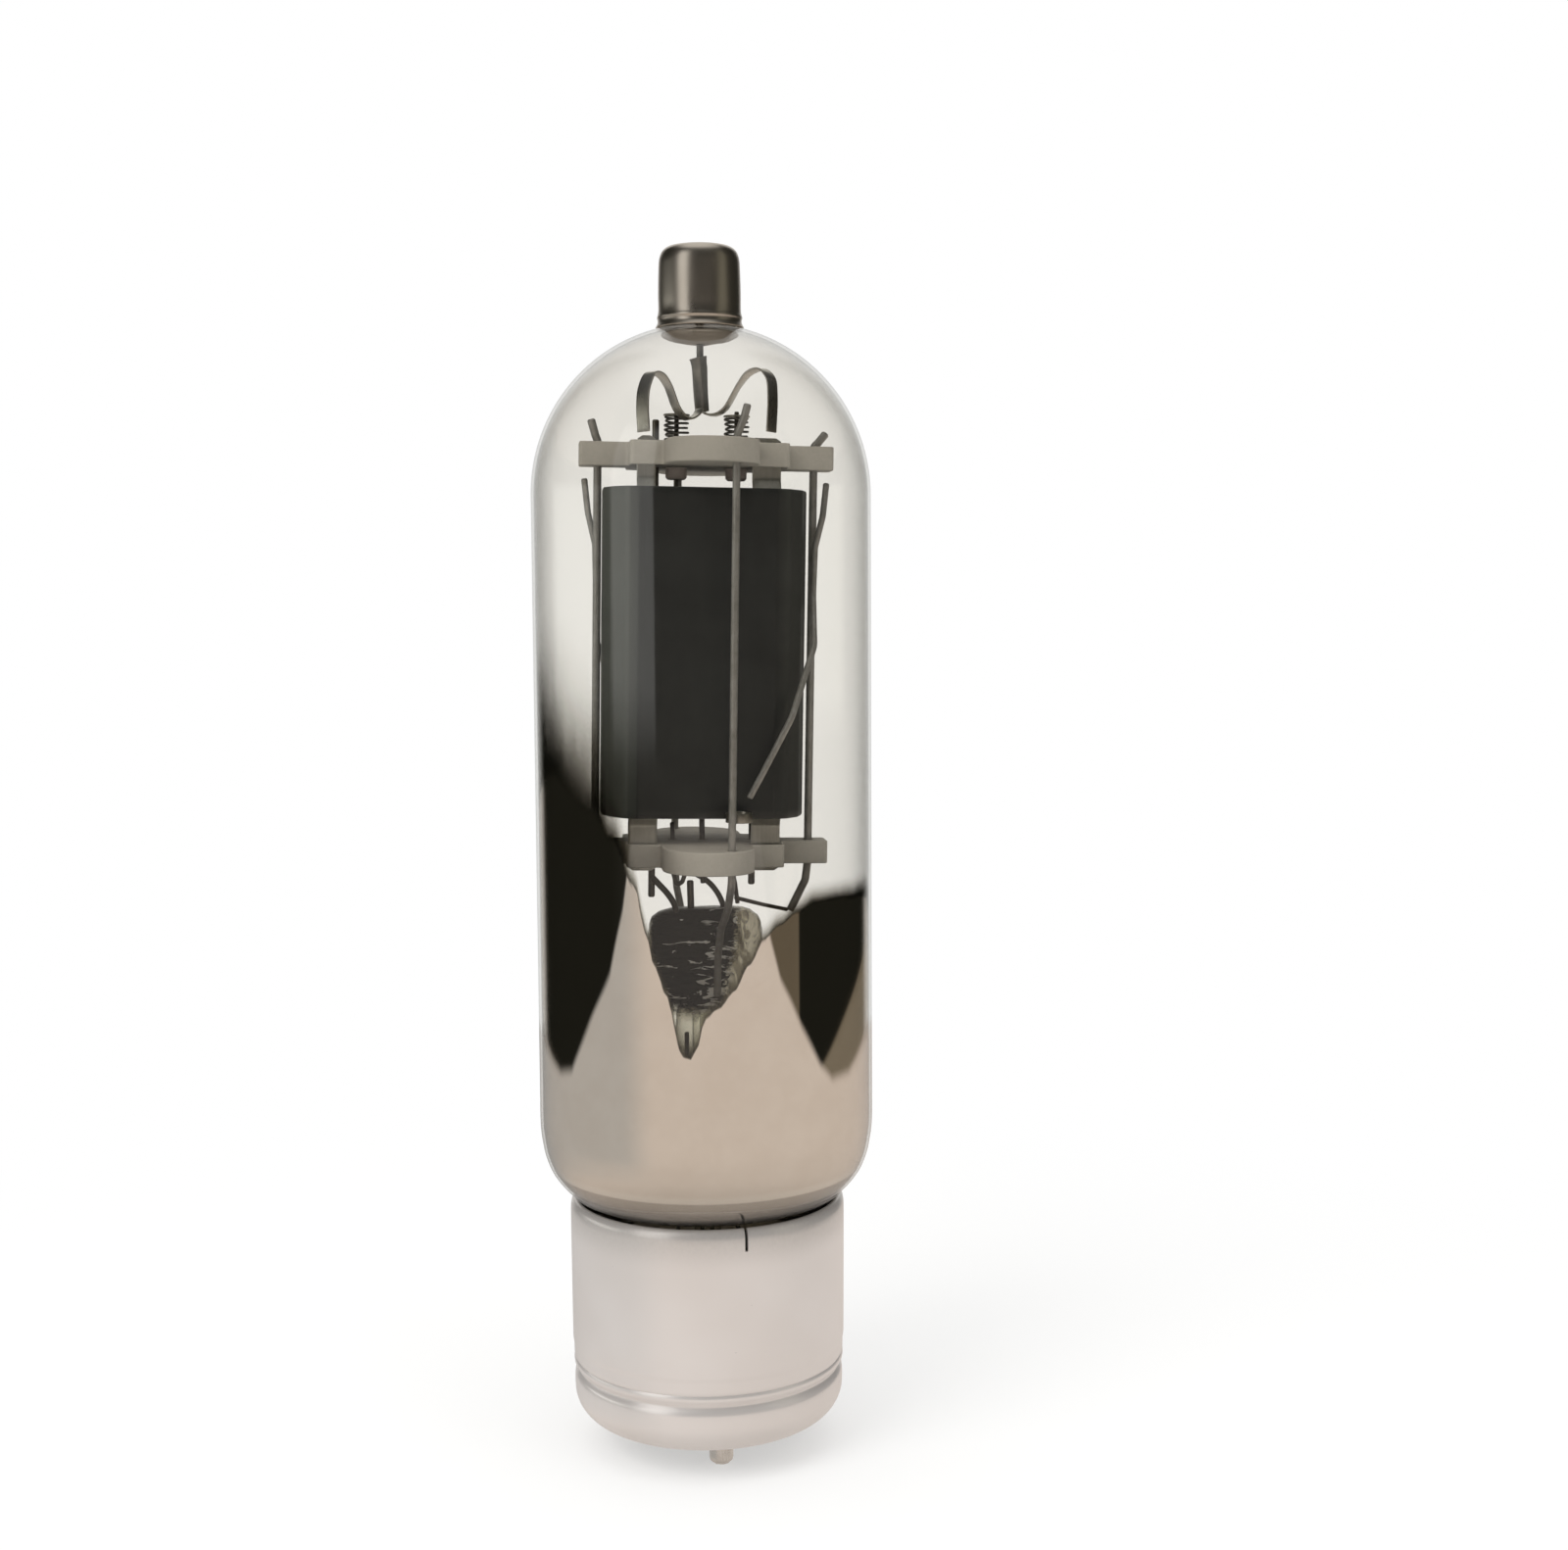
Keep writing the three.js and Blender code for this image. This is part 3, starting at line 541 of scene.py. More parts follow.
def film_material(name):
    """Getter mirror: dense silver low down, thinning to a smoky brown edge.

    How much metal there is at each point is stored on the mesh."""
    mat, net = new_material(name)
    amount = net.new("Attribute", attribute_name="film_amount",
                     attribute_type="GEOMETRY").outputs["Fac"]
    points = net.coords()
    patches = net.noise(points, scale=0.12, detail=4, rough=0.6)
    ragged = net.noise(net.coords(0.5, 0.5, 0.08), scale=0.6, detail=3, rough=0.6)
    # the noise acts only where the film is half thick, so it frays the edge
    midway = net.ramp(net.math("ABSOLUTE", net.sub(amount, 0.5)), 0.5, 0.2, low=0.0, high=0.22)
    amount = net.math("ADD", amount, net.mul(net.sub(ragged, 0.5), midway), clamp=True)
    # a slanting ray passes through more film
    slant = net.math("MAXIMUM", net.sub(1.0, net.facing()), 0.12)
    through = net.sub(1.0, net.math("MINIMUM", amount, 0.9999))
    alpha = net.sub(1.0, net.math("POWER", through, net.math("DIVIDE", 1.0, slant)))
    silver = net.mix(net.ramp(patches, 0.35, 0.7), (0.935, 0.885, 0.85), (0.90, 0.845, 0.805))
    color = net.mix(net.ramp(amount, 0.55, 0.99), (0.09, 0.085, 0.065), silver)
    # painted shade: a dark band low on the shoulder, with a painted highlight line just above
    # it
    height = net.mul(net.object_axes()["Z"], 1000.0)
    painted_shade_band = net.mul(net.ramp(height, base_z(40.6), base_z(45.0), low=0.80, high=0.38),
                   net.ramp(height, base_z(45.4), base_z(44.9)))
    color = net.mix(painted_shade_band, color, (0.10, 0.095, 0.09))
    # the painted highlight line
    line = net.mul(net.ramp(height, base_z(44.9), base_z(45.4)),
                   net.ramp(height, base_z(46.8), base_z(45.6)))
    color = net.mix(net.mul(line, 0.7), color, (1.0, 0.97, 0.95))
    swell = net.noise(points, scale=0.05, detail=1, rough=0.3)
    mirror = net.shader("BsdfGlossy", Color=color,
                        Roughness=net.ramp(amount, 0.6, 1.0, low=0.10, high=0.012),
                        Normal=net.bump(swell, strength=0.10, depth=0.25))
    clear = net.shader("BsdfTransparent", Color=net.mix(amount, (1, 1, 1), (0.55, 0.5, 0.4)))
    # shadows of the film are weaker than the film
    shadow = net.mul(net.new("LightPath").outputs["Is Shadow Ray"], 0.6)
    net.output(net.mix_shader(net.mul(alpha, net.sub(1.0, shadow)), clear, mirror))
    return mat


def ceramic(name, color, dark, bump=0.12):
    """Matte fired body with a mottled tone and small dark specks."""
    mat, net = new_material(name)
    points = net.coords()
    patches = net.noise(points, scale=0.18, detail=4, rough=0.6)
    grain = net.noise(points, scale=2.4, detail=4, rough=0.65)
    tooth = net.noise(points, scale=11.0, detail=2, rough=0.6)
    stain = net.ramp(net.weighted(patches, 0.6, grain, 0.4), 0.36, 0.66)
    tone = net.mix(net.mul(stain, 0.55), color, dark)
    specks = net.ramp(net.noise(points, scale=5.5, detail=2, rough=0.5), 0.70, 0.78)
    net.output(net.shader(
        "BsdfPrincipled",
        Base_Color=net.mix(net.mul(specks, 0.45), tone, tuple(0.5 * c for c in dark)),
        Roughness=net.add(0.55, net.mul(grain, 0.3)),
        Metallic=0.0,
        Normal=net.bump(net.add(tooth, net.mul(grain, 0.7)), strength=bump, depth=0.05),
        Specular_IOR_Level=0.35))
    return mat


def anode_material(name):
    """Carbonised sheet: near black, with faint rolling streaks and paler rubbed edges."""
    mat, net = new_material(name)
    points = net.coords()
    patches = net.noise(points, scale=0.14, detail=4, rough=0.6)
    streaks = net.noise(net.coords(1, 1, 0.04), scale=2.2, detail=3, rough=0.6)
    tooth = net.noise(points, scale=7.0, detail=3, rough=0.7)
    tone = net.ramp(net.weighted(patches, 0.6, streaks, 0.4), 0.35, 0.68)
    color = net.mix(tone, (0.0075, 0.0082, 0.0080), (0.0125, 0.0135, 0.013))
    geometry = net.new("NewGeometry").outputs
    edge = net.ramp(geometry["Pointiness"], 0.53, 0.62)
    color = net.mix(net.mul(edge, 0.5), color, (0.10, 0.10, 0.095))
    # painted light: the bent side at the viewer's left is made paler, as if lit from the left
    normal = net.split(geometry["Normal"])
    side = net.ramp(net.weighted(normal["X"], math.cos(VIEW), normal["Y"], math.sin(VIEW)),
                    -0.15, -0.30)
    painted_left_light = net.mul(side, net.add(0.72, net.mul(patches, 0.4)))
    net.output(net.shader(
        "BsdfPrincipled",
        Base_Color=net.mix(painted_left_light, color, (0.058, 0.063, 0.056)),
        Roughness=net.add(0.36, net.mul(streaks, 0.16)),
        Metallic=0.0,
        Normal=net.bump(net.add(tooth, streaks), strength=0.12, depth=0.05),
        Specular_IOR_Level=0.75))
    return mat


def base_material(name):
    """Satin plated shell: soft turning lines, slight warm tone, rubbed marks."""
    mat, net = new_material(name)
    points = net.coords()
    patches = net.noise(points, scale=0.05, detail=2, rough=0.4)
    turning = net.noise(net.coords(0.02, 0.02, 1.0), scale=5.0, detail=3, rough=0.6)
    grain = net.noise(points, scale=1.6, detail=4, rough=0.65)
    color = net.mix(net.ramp(patches, 0.30, 0.72), (0.80, 0.755, 0.73), (0.755, 0.705, 0.675))
    marks = net.ramp(net.noise(net.coords(0.25, 0.25, 2.0), scale=2.2, detail=4, rough=0.7),
                     0.68, 0.80)
    color = net.mix(net.mul(marks, 0.12), color, (0.50, 0.47, 0.45))
    # painted shade: darker towards the rim, mottled by the grain
    painted_shade_ramp = net.ramp(net.mul(net.object_axes()["Z"], 1000.0), base_z(32.0), base_z(38.6))
    painted_rim_shade = net.mul(painted_shade_ramp, net.add(0.25, net.mul(grain, 0.25)))
    net.output(net.shader(
        "BsdfPrincipled",
        Base_Color=net.mix(painted_rim_shade, color, (0.36, 0.34, 0.31)),
        Roughness=net.add(0.24, net.weighted(grain, 0.06, turning, 0.05)),
        Metallic=0.55,
        Normal=net.bump(net.weighted(turning, 0.8, grain, 0.2), strength=0.04, depth=0.04)))
    return mat


def stem_material(name):
    """Pressed glass: dark crinkled metal skin towards the left, clear at the right."""
    mat, net = new_material(name)
    axes = net.object_axes()
    x, z = net.mul(axes["X"], 1000.0), net.mul(axes["Z"], 1000.0)
    crinkle = net.noise(net.coords(1.0, 1.0, 2.2), scale=0.7, detail=5, rough=0.7, distort=1.4)
    # the skin runs from near the left edge to a wavy line right of the middle,
    # and ends in a ragged lower edge
    sway = net.mul(net.sub(crinkle, 0.5), 6.0)
    right = net.ramp(z, base_z(73.0), base_z(86.0), low=2.6, high=5.4, smooth=False)
    left = net.ramp(z, base_z(72.5), base_z(79.0), low=-6.4, high=-9.3, smooth=False)
    inside_right = net.ramp(net.sub(right, net.add(x, sway)), -0.5, 0.8)
    inside_left = net.ramp(net.sub(net.add(x, net.mul(sway, 0.3)), left), -0.8, 0.3)
    above = net.ramp(net.add(z, sway), base_z(72.0), base_z(74.5))
    skin_area = net.mul(inside_right, inside_left, above)
    # painted glints: bright patches in the colour of the dark skin, more of them to the right
    # and lower down
    glints = net.noise(net.coords(0.24, 0.24, 0.95), scale=0.85, detail=3, rough=0.55,
                       distort=1.2)
    limit = net.add(net.ramp(x, -6.0, 0.5, low=0.66, high=0.555),
                    net.ramp(z, base_z(76.0), base_z(88.0), low=-0.02, high=0.035))
    painted_glint = net.ramp(net.sub(glints, limit), 0.0, 0.03)
    skin = net.shader(
        "BsdfPrincipled",
        Base_Color=net.mix(painted_glint, (0.018, 0.018, 0.015), (0.60, 0.585, 0.56)),
        Metallic=net.sub(0.85, net.mul(painted_glint, 0.80)),
        Roughness=net.add(0.24, net.mul(glints, 0.2)),
        Normal=net.bump(glints, strength=0.4, depth=1.2))
    # the clear glass darkens in the press, in its folds and at its outline
    facing = net.facing()
    folds = net.noise(net.coords(0.5, 0.5, 0.22), scale=0.8, detail=3, rough=0.55, distort=1.2)
    press = net.ramp(z, base_z(70.0), base_z(76.0))
    tint = net.mix(net.mul(net.ramp(folds, 0.50, 0.60), press),
                   net.mix(press, (0.93, 0.92, 0.88), (0.60, 0.575, 0.51)),
                   (0.27, 0.245, 0.19))
    tint = net.mix(net.math("POWER", facing, 2.2), tint, (0.36, 0.34, 0.28))
    clear = net.shader("BsdfTransparent", Color=tint)
    mirror = net.shader("BsdfGlossy", Roughness=0.03,
                        Normal=net.bump(crinkle, strength=0.5, depth=0.8))
    light_path = net.new("LightPath").outputs
    fresnel = net.add(net.mul(net.math("POWER", facing, 4.0), 0.9), 0.07)
    body = net.mix_shader(net.mul(fresnel, net.mirror_rays(light_path)), clear, mirror)
    cover = net.mul(skin_area, net.sub(1.0, net.mul(light_path["Is Shadow Ray"], 0.5)))
    net.output(net.mix_shader(cover, body, skin))
    return mat


BULB_GLASS = glass("bulb_glass", tint=(0.962, 0.955, 0.937), edge=(0.965, 0.965, 0.96),
                   edge_power=6.0, head_on=0.035)
TUBE_GLASS = glass("seal_glass", tint=(0.93, 0.93, 0.90), edge=(0.42, 0.42, 0.38),
                   edge_power=2.5, head_on=0.06)
STEM_GLASS = stem_material("stem_glass")
MIRROR_FILM = film_material("getter_mirror_film")
CAP_NICKEL = metal("cap_satin_nickel", (0.58, 0.52, 0.445), (0.47, 0.415, 0.345), rough=0.32,
                   streak=(0.15, 0.15, 0.05), tarnish=0.3, fine=1.2, bump=0.0, mottle=0.10)
NICKEL = metal("strip_nickel", (0.56, 0.54, 0.49), (0.30, 0.28, 0.24), rough=0.30, fine=3.0)
STRAP_NICKEL = metal("strap_nickel", (0.60, 0.60, 0.56), (0.42, 0.42, 0.39), rough=0.42,
                     fine=3.0, bump=0.06)
ROD_NICKEL = metal("rod_dark_nickel", (0.345, 0.335, 0.315), (0.19, 0.183, 0.165),
                   metallic=0.7, rough=0.40, tarnish=0.6, fine=3.0, bump=0.10)
LEAD_NICKEL = metal("lead_dark_nickel", (0.17, 0.155, 0.125), (0.07, 0.062, 0.045),
                    rough=0.36, tarnish=0.6, fine=3.0, bump=0.12)
FINE_WIRE = metal("fine_wire", (0.24, 0.23, 0.22), (0.10, 0.10, 0.095), rough=0.32, fine=5.0,
                  bump=0.05)
GRID_WIRE = metal("grid_wire", (0.42, 0.41, 0.38), (0.22, 0.21, 0.19), rough=0.30, fine=5.0,
                  bump=0.05)
STEATITE = ceramic("steatite", (0.305, 0.285, 0.252), (0.235, 0.22, 0.192))
BUSH_CERAMIC = ceramic("bush_ceramic", (0.50, 0.43, 0.39), (0.38, 0.32, 0.28))
BASING_CEMENT = ceramic("basing_cement", (0.30, 0.27, 0.225), (0.17, 0.15, 0.12), bump=0.5)
NECK_CEMENT = ceramic("neck_cement", (0.035, 0.033, 0.03), (0.015, 0.014, 0.012), bump=0.5)
SEAL_BROWN = ceramic("seal_brown", (0.26, 0.22, 0.18), (0.15, 0.125, 0.10), bump=0.25)
ANODE_SHEET = anode_material("carbonised_sheet")
BASE_METAL = base_material("base_satin_metal")
PIN_METAL = metal("pin_plated", (0.74, 0.72, 0.69), (0.50, 0.48, 0.45), rough=0.24,
                  streak=(1, 1, 0.2), bump=0.05)
# part of the palette, though no piece wears it
metal("solder", (0.70, 0.69, 0.67), (0.42, 0.41, 0.39), rough=0.28, tarnish=0.7,
      streak=(1, 1, 1), fine=1.2, bump=0.25)
FOLDED_SHEET = metal("folded_sheet", (0.30, 0.28, 0.24), (0.12, 0.11, 0.09), rough=0.36,
                     fine=2.5)


# ------------------------------------------------------------------ bulb
# (radius, height above the base) of the outside, from the neck to the full width
SHOULDER = [(24.75, 41.55), (25.6, 42.4), (26.6, 43.6), (27.4, 44.8), (28.0, 46.1),
            (28.6, 47.9), (29.0, 50.0), (29.25, 51.8)]


def bulb_profile(inset):
    """Outline of the bulb from skirt to dome, moved inwards by the inset."""
    radius = BULB_R - inset
    skirt = [(SEAL_R, 33.0), (SEAL_R, 39.5), (SEAL_R + 0.2, 39.8), (NECK_R - 0.45, 40.12),
             (NECK_R - 0.05, 40.38)]
    points = from_base([(r - inset, z) for r, z in skirt])
    bend = [(NECK_R + 0.35 - inset, 40.62), (NECK_R + 0.8 - inset, 40.98 - 0.1 * inset)]
    for r, z in SHOULDER:
        k = (r - NECK_R) / (BULB_R - NECK_R)
        bend.append((r - inset * (0.35 + 0.65 * k), z + inset * (1 - k) * 0.8))
    bend += [(radius, 54.1), (radius, 57.5)]
    points += [tuple(p) for p in spline(from_base(bend), 4)]
    points += [(radius, DOME_Z - 60 + 20 * k) for k in range(3)]
    end, steps = math.acos(DOME_END_R / radius), 44
    points += [(radius * math.cos(end * k / steps), DOME_Z + radius * math.sin(end * k / steps))
               for k in range(steps + 1)]
    return points


# Top edge of the mirror round the bulb: (degrees right of the viewer, height above the base)
FILM_EDGE = [
    (-180, 52), (-150, 62), (-115, 100), (-90, 113), (-61, 119.4), (-40, 114.1), (-32, 107.7),
    (-23.5, 98.8), (-19.7, 91), (-16.8, 85.4), (-13, 80.8), (-10.8, 77.6), (-9.4, 72.5),
    (-8, 70.6), (-5, 70.2), (-2.6, 72.5), (-0.4, 77.0), (4, 78.6), (9, 81.2), (14.3, 85.4),
    (19.4, 89.4), (25, 91.6), (31.4, 93.7), (39, 95.2), (52, 95.3), (64, 94.8), (72, 94),
    (88, 90), (108, 84), (150, 62), (180, 52)]
# (degrees right of the viewer, height over which the mirror fades out)
FILM_FADE = [(-180, 8), (-115, 22), (-90, 30), (-42, 30), (-30, 10), (-22, 4), (-16, 3),
             (39, 3.5), (62, 4), (110, 8), (180, 8)]
FILM_GAP, FILM_THICK = 0.05, 0.10


def getter_film():
    """Thin double skin inside the bulb, carrying the amount of metal at each point."""
    columns, low_rows, high_rows = 288, 24, 64
    wall = [(z, r) for r, z in bulb_profile(WALL + FILM_GAP)]
    bottom, middle = base_z(40.0), base_z(58.0)
    verts, amounts = [], []
    for inset in (0.0, FILM_THICK):
        for k in range(columns):
            a = TAU * k / columns
            degrees = (math.degrees(a - VIEW) + 180) % 360 - 180
            # soft ripples along the edge of the deposit
            ripple = noise.noise(Vector((math.cos(a) * 2.2, math.sin(a) * 2.2, 3.1)))
            edge = base_z(interpolate(FILM_EDGE, degrees, ease=True)[0]) + 0.7 * ripple
            edge = max(edge, base_z(58.5))
            fade = interpolate(FILM_FADE, degrees, ease=True)[0]
            top = edge + fade
            for j in range(low_rows + high_rows + 1):
                if j <= low_rows:
                    z = bottom + (middle - bottom) * j / low_rows
                else:
                    z = middle + (top - middle) * (j - low_rows) / high_rows
                r = interpolate(wall, z)[0] - inset
                u = min(max(((z - edge) / fade + 0.15) / 1.15, 0.0), 1.0)
                amounts.append(1 - math.sqrt(max(0.0, 1 - (1 - u) ** 2.5)))
                verts.append((r * math.sin(a), -r * math.cos(a), z))
    rows = low_rows + high_rows + 1
    inner = columns * rows
    faces = []
    for k in range(columns):
        a, c = k * rows, ((k + 1) % columns) * rows
        for j in range(rows - 1):
            faces.append((a + j, c + j, c + j + 1, a + j + 1))
            faces.append((inner + a + j, inner + a + j + 1, inner + c + j + 1, inner + c + j))
        faces.append((a, inner + a, inner + c, c))
        top = rows - 1
        faces.append((a + top, c + top, inner + c + top, inner + a + top))
    mesh = mesh_from("vis_getter_film", verts, faces)
    attribute = mesh.attributes.new("film_amount", "FLOAT", "POINT")
    attribute.data.foreach_set("value", amounts)
    mesh.update()
    tidy(mesh)
    finish_object("getter_film", mesh, MIRROR_FILM, sharp=60)


lathe("bulb", bulb_profile(0.0) + bulb_profile(WALL)[::-1], BULB_GLASS, seg=192, sharp=45)
getter_film()

# ------------------------------------------------ anode cap, cement and seal
# (radius, height above the base)
CAP_OUTSIDE = [
    (0.0, 205.10), (3.0, 205.09), (4.5, 205.02), (5.5, 204.8), (6.1, 204.4), (6.5, 203.9),
    (6.78, 203.2), (6.92, 202.5), (7.0, 201.0), (7.07, 198.6), (7.1, 196.3), (7.1, 194.15),
    (7.2, 193.4), (7.34, 192.9), (7.22, 192.4), (7.26, 191.95), (7.46, 191.5), (7.6, 191.25)]
CAP_INSIDE = [
    (7.52, 191.1), (7.3, 191.12), (7.0, 191.5), (6.84, 192.2), (6.78, 193.1), (6.7, 198.8),
    (6.5, 201.4), (6.1, 203.0), (5.3, 203.9), (4.0, 204.2), (0, 204.3)]
CAP_CEMENT = [
    (1.1, 192.3), (1.9, 192.2), (2.8, 192.1), (3.7, 192.0), (4.6, 191.85), (5.5, 191.7),
    (6.2, 191.55), (6.62, 191.5), (6.7, 191.8), (6.62, 194.0), (6.5, 197.6), (6.0, 198.6),
    (4.0, 199.0), (1.1, 199.0)]
TOP_SEAL = [
    (0.8, 188.45), (1.6, 188.4), (3.0, 188.65), (4.2, 188.85), (5.4, 189.2), (6.3, 189.6),
    (6.75, 189.95), (6.5, 190.35), (3.0, 190.95), (0.8, 191.05)]


def cap_wobble(r, z, a):
    """The drawn cap is slightly out of round."""
    dent = 0.03 * noise.noise(Vector((2.0 * math.sin(a), 2.0 * math.cos(a), z * 0.12)))
    return r + dent * min(1.0, r / 4), z


def cement_wobble(r, z, a):
    """Uneven underside of the cement."""
    if z < base_z(194) and 1.3 < r < 6.4:
        spot = Vector((r * 0.7 * math.sin(a), r * 0.7 * math.cos(a), z * 0.9))
        z += 0.18 * noise.noise(spot)
    return r, z


def seal_wobble(r, z, a):
    """Uneven underside of the seal."""
    if z < base_z(189.8) and r > 1.3:
        spot = Vector((r * 0.5 * math.sin(a) + 4, r * 0.5 * math.cos(a), 2.0))
        z += 0.15 * noise.noise(spot)
    return r, z


lathe("anode_cap", from_base(spline(CAP_OUTSIDE, 5) + CAP_INSIDE), CAP_NICKEL, seg=128,
      closed=False, wobble=cap_wobble, sharp=50)
lathe("cap_cement", from_base(CAP_CEMENT), BASING_CEMENT, seg=72, wobble=cement_wobble)
lathe("top_seal", fillet(from_base(TOP_SEAL), closed=True, steps=4, radius=0.3), SEAL_BROWN,
      seg=72, wobble=seal_wobble)
wire("anode_lead_pin", from_base([(0, 0, 182.65), (0, 0, 190.0), (0, 0, 203.9)]), 0.6,
     LEAD_NICKEL, sides=20)


# ------------------------------------------------ sleeve, ribbons and straps
# (corner seen from above, bend radius): a spine at the front and an open seam at the left
SLEEVE_FOLD = [((-1.28, 0.55), 0.2), ((-1.15, -0.35), 0.35), ((0.12, -1.12), 0.22),
               ((1.2, -0.3), 0.3), ((1.05, 0.75), 0.3), ((0.1, 1.05), 0.3), ((-0.62, 0.72), 0)]


def sleeve():
    """Folded sheet closed round the end of the anode lead."""
    half_sheet, levels, height = 0.12, 26, 9.3
    line = fillet(SLEEVE_FOLD, steps=4)
    left, right = [], []
    for i, p in enumerate(line):
        before, after = line[max(i - 1, 0)], line[min(i + 1, len(line) - 1)]
        dx, dy = after.x - before.x, after.y - before.y
        length = math.hypot(dx, dy)
        out_x, out_y = dy / length * half_sheet, dx / length * half_sheet
        left.append((p.x - out_x, p.y + out_y))
        right.append((p.x + out_x, p.y - out_y))
    loop = left + right[::-1]
    count = len(loop)
    verts, faces = [], []
    for i in range(levels + 1):
        k = i / levels
        # wider and further left towards the top
        size = 0.86 + 0.16 * k + 0.10 * max(0, (k - 0.9) / 0.1)
        centre = 0.35 * (1 - k) - 0.16 * k - 0.22 * max(0, (k - 0.82) / 0.18)
        for x, y in loop:
            wave = 0.05 * math.sin(5.0 * k + 2.0 * x)
            # both ends are cut at a slant
            slant = 0.25 * (x - 0.2) if i == levels else (0.16 * x if i == 0 else 0)
            verts.append((centre + x * size + wave, y * size,
                          mount_z(173.0) + height * k + slant))
    for i in range(levels):
        faces += band(i * count, (i + 1) * count, count)
    top = levels * count
    for k in range(count // 2 - 1):
        far = count - 1 - k
        faces.append((k, far, far - 1, k + 1))
        faces.append((top + k, top + k + 1, top + far - 1, top + far))
    finish_mesh("anode_lead_sleeve", verts, faces, FOLDED_SHEET, sharp=30)


# Flexible ribbons from the sleeve to the mount: (distance from the axis, mount height)
RIBBONS = {
    "left": [(0.35, 173.3), (0.95, 172.3), (2.5, 171.5), (4.2, 172.9), (6.0, 177.2),
             (7.3, 178.8), (8.8, 179.0), (10.0, 176.6), (10.35, 173.5), (10.2, 169.1)],
    "right": [(0.35, 172.7), (0.95, 172.35), (2.4, 172.3), (3.9, 173.2), (6.3, 177.2),
              (8.0, 179.2), (10.0, 179.7), (11.4, 178.3), (11.75, 175.2), (11.5, 169.1)]}
RIBBON_Y, RIBBON_SLOPE = -2.4, 0.354    # they start here and come forward as they go out
RIBBON_SECTION = (1.52, 0.16, 0.12)     # half width, half thickness, corner radius


def ribbon(side, sign):
    path = spline([(sign * x, RIBBON_Y - RIBBON_SLOPE * x, mount_z(z))
                   for x, z in RIBBONS[side]], 7)
    across = []
    for p in path:
        # the ribbon twists on its way out
        k = min(max((abs(p.x) - 5.5) / 4.5, 0), 1)
        turn = math.radians(20 + 19 * k * k * (3 - 2 * k))
        across.append((sign * math.sin(turn), math.cos(turn), 0))
    wire(f"ribbon_{side}", path, None, NICKEL, section=RIBBON_SECTION, across=across, sharp=40)


# (x, width) of each strap
STRAPS = {"anode_strap_left": (-10.8, 3.2), "lower_strap_left": (-10.9, 5.0),
          "anode_strap_right": (9.7, 4.9), "lower_strap_right": (10.3, 5.0)}
# (y, mount height) along a strap, from the anode to the spacer
UPPER_LINE = [(-9.0, 150.0), (-9.0, 157.5), (STRAP_Y, 161.2), (STRAP_Y, 168.2)]
LOWER_LINE = [(-9.0, 114.0), (-9.0, 105.6), (STRAP_Y, 102.0), (STRAP_Y, 94.2)]


def strap(node, x, width, line):
    """Bent strip with rounded ends and spot-weld dimples near its start."""
    corner, columns = 0.9, 20
    path = fillet([(0.0, y, mount_z(z)) for y, z in line], steps=6, radius=1.6)
    path = split_long(path, 0.5)
    verts, faces = [], []
    count = len(path)
    for i, p in enumerate(path):
        tangent = (path[min(i + 1, count - 1)] - path[max(i - 1, 0)]).normalized()
        normal = Vector((0, tangent.z, -tangent.y))
        along = (p - path[0]).length
        half_width = width / 2
        end = min(along, (path[-1] - p).length)
        if end < corner:
            half_width -= corner - math.sqrt(max(0.0, corner ** 2 - (corner - end) ** 2))
        for face in (1, -1):
            for k in range(columns + 1):
                u = -1 + 2 * k / columns
                dimple = 0.0
                if face > 0:
                    for weld_z in (1.6, 4.2):
                        for weld_u in (-0.42, 0.42):
                            d = math.hypot((u - weld_u) * width / 2, along - weld_z)
                            dimple = max(dimple, 0.16 * math.exp(-(d / 0.45) ** 2))
                half = 0.25 * (1 if abs(u) < 0.999 else 0.6)
                q = p + normal * (face * half) - normal * dimple
                verts.append((x + u * half_width, q.y, q.z))
    back = columns + 1
    row = 2 * back
    for i in range(count - 1):
        a, c = i * row, (i + 1) * row
        for k in range(columns):
            faces.append((a + k, a + k + 1, c + k + 1, c + k))
            faces.append((a + back + k, c + back + k, c + back + k + 1, a + back + k + 1))
        faces.append((a, c, c + back, a + back))
        faces.append((a + columns, a + row - 1, c + row - 1, c + columns))
    for a in (0, (count - 1) * row):
        for k in range(columns):
            faces.append((a + k, a + back + k, a + back + k + 1, a + k + 1))
    finish_mesh(node, verts, faces, STRAP_NICKEL)


sleeve()
for side, sign in SIDES:
    ribbon(side, sign)
for node, (x, width) in STRAPS.items():
    strap(node, x, width, UPPER_LINE if node.startswith("anode") else LOWER_LINE)


# ------------------------------------------------------------ ceramic spacers
def spacer_outline():
    """Plate with two side arms and a round lobe at front and rear."""
    arm_x, arm_y, lobe_r, lobe_y = 21.95, 2.8, 7.8, 13.0
    body_x, body_y = 13.6, 8.6
    half = [((lobe_r, -body_y), 0.7), ((body_x, -body_y), 0.9), ((body_x, -arm_y), 0.8),
            ((arm_x, -arm_y), 0.7), ((arm_x, arm_y), 0.7), ((body_x, arm_y), 0.8),
            ((body_x, body_y), 0.9), ((lobe_r, body_y), 0.7)]
    for k in range(31):
        a = math.radians(6 * k)
        half.append(((lobe_r * math.cos(a), lobe_y + lobe_r * math.sin(a)), 0))
    other = [((-x, -y), r) for (x, y), r in half]
    return fillet(half + other, closed=True, steps=6)


def opposite_holes(x, y, radius, count=24):
    return [circle(x, y, radius, count), circle(-x, -y, radius, count)]


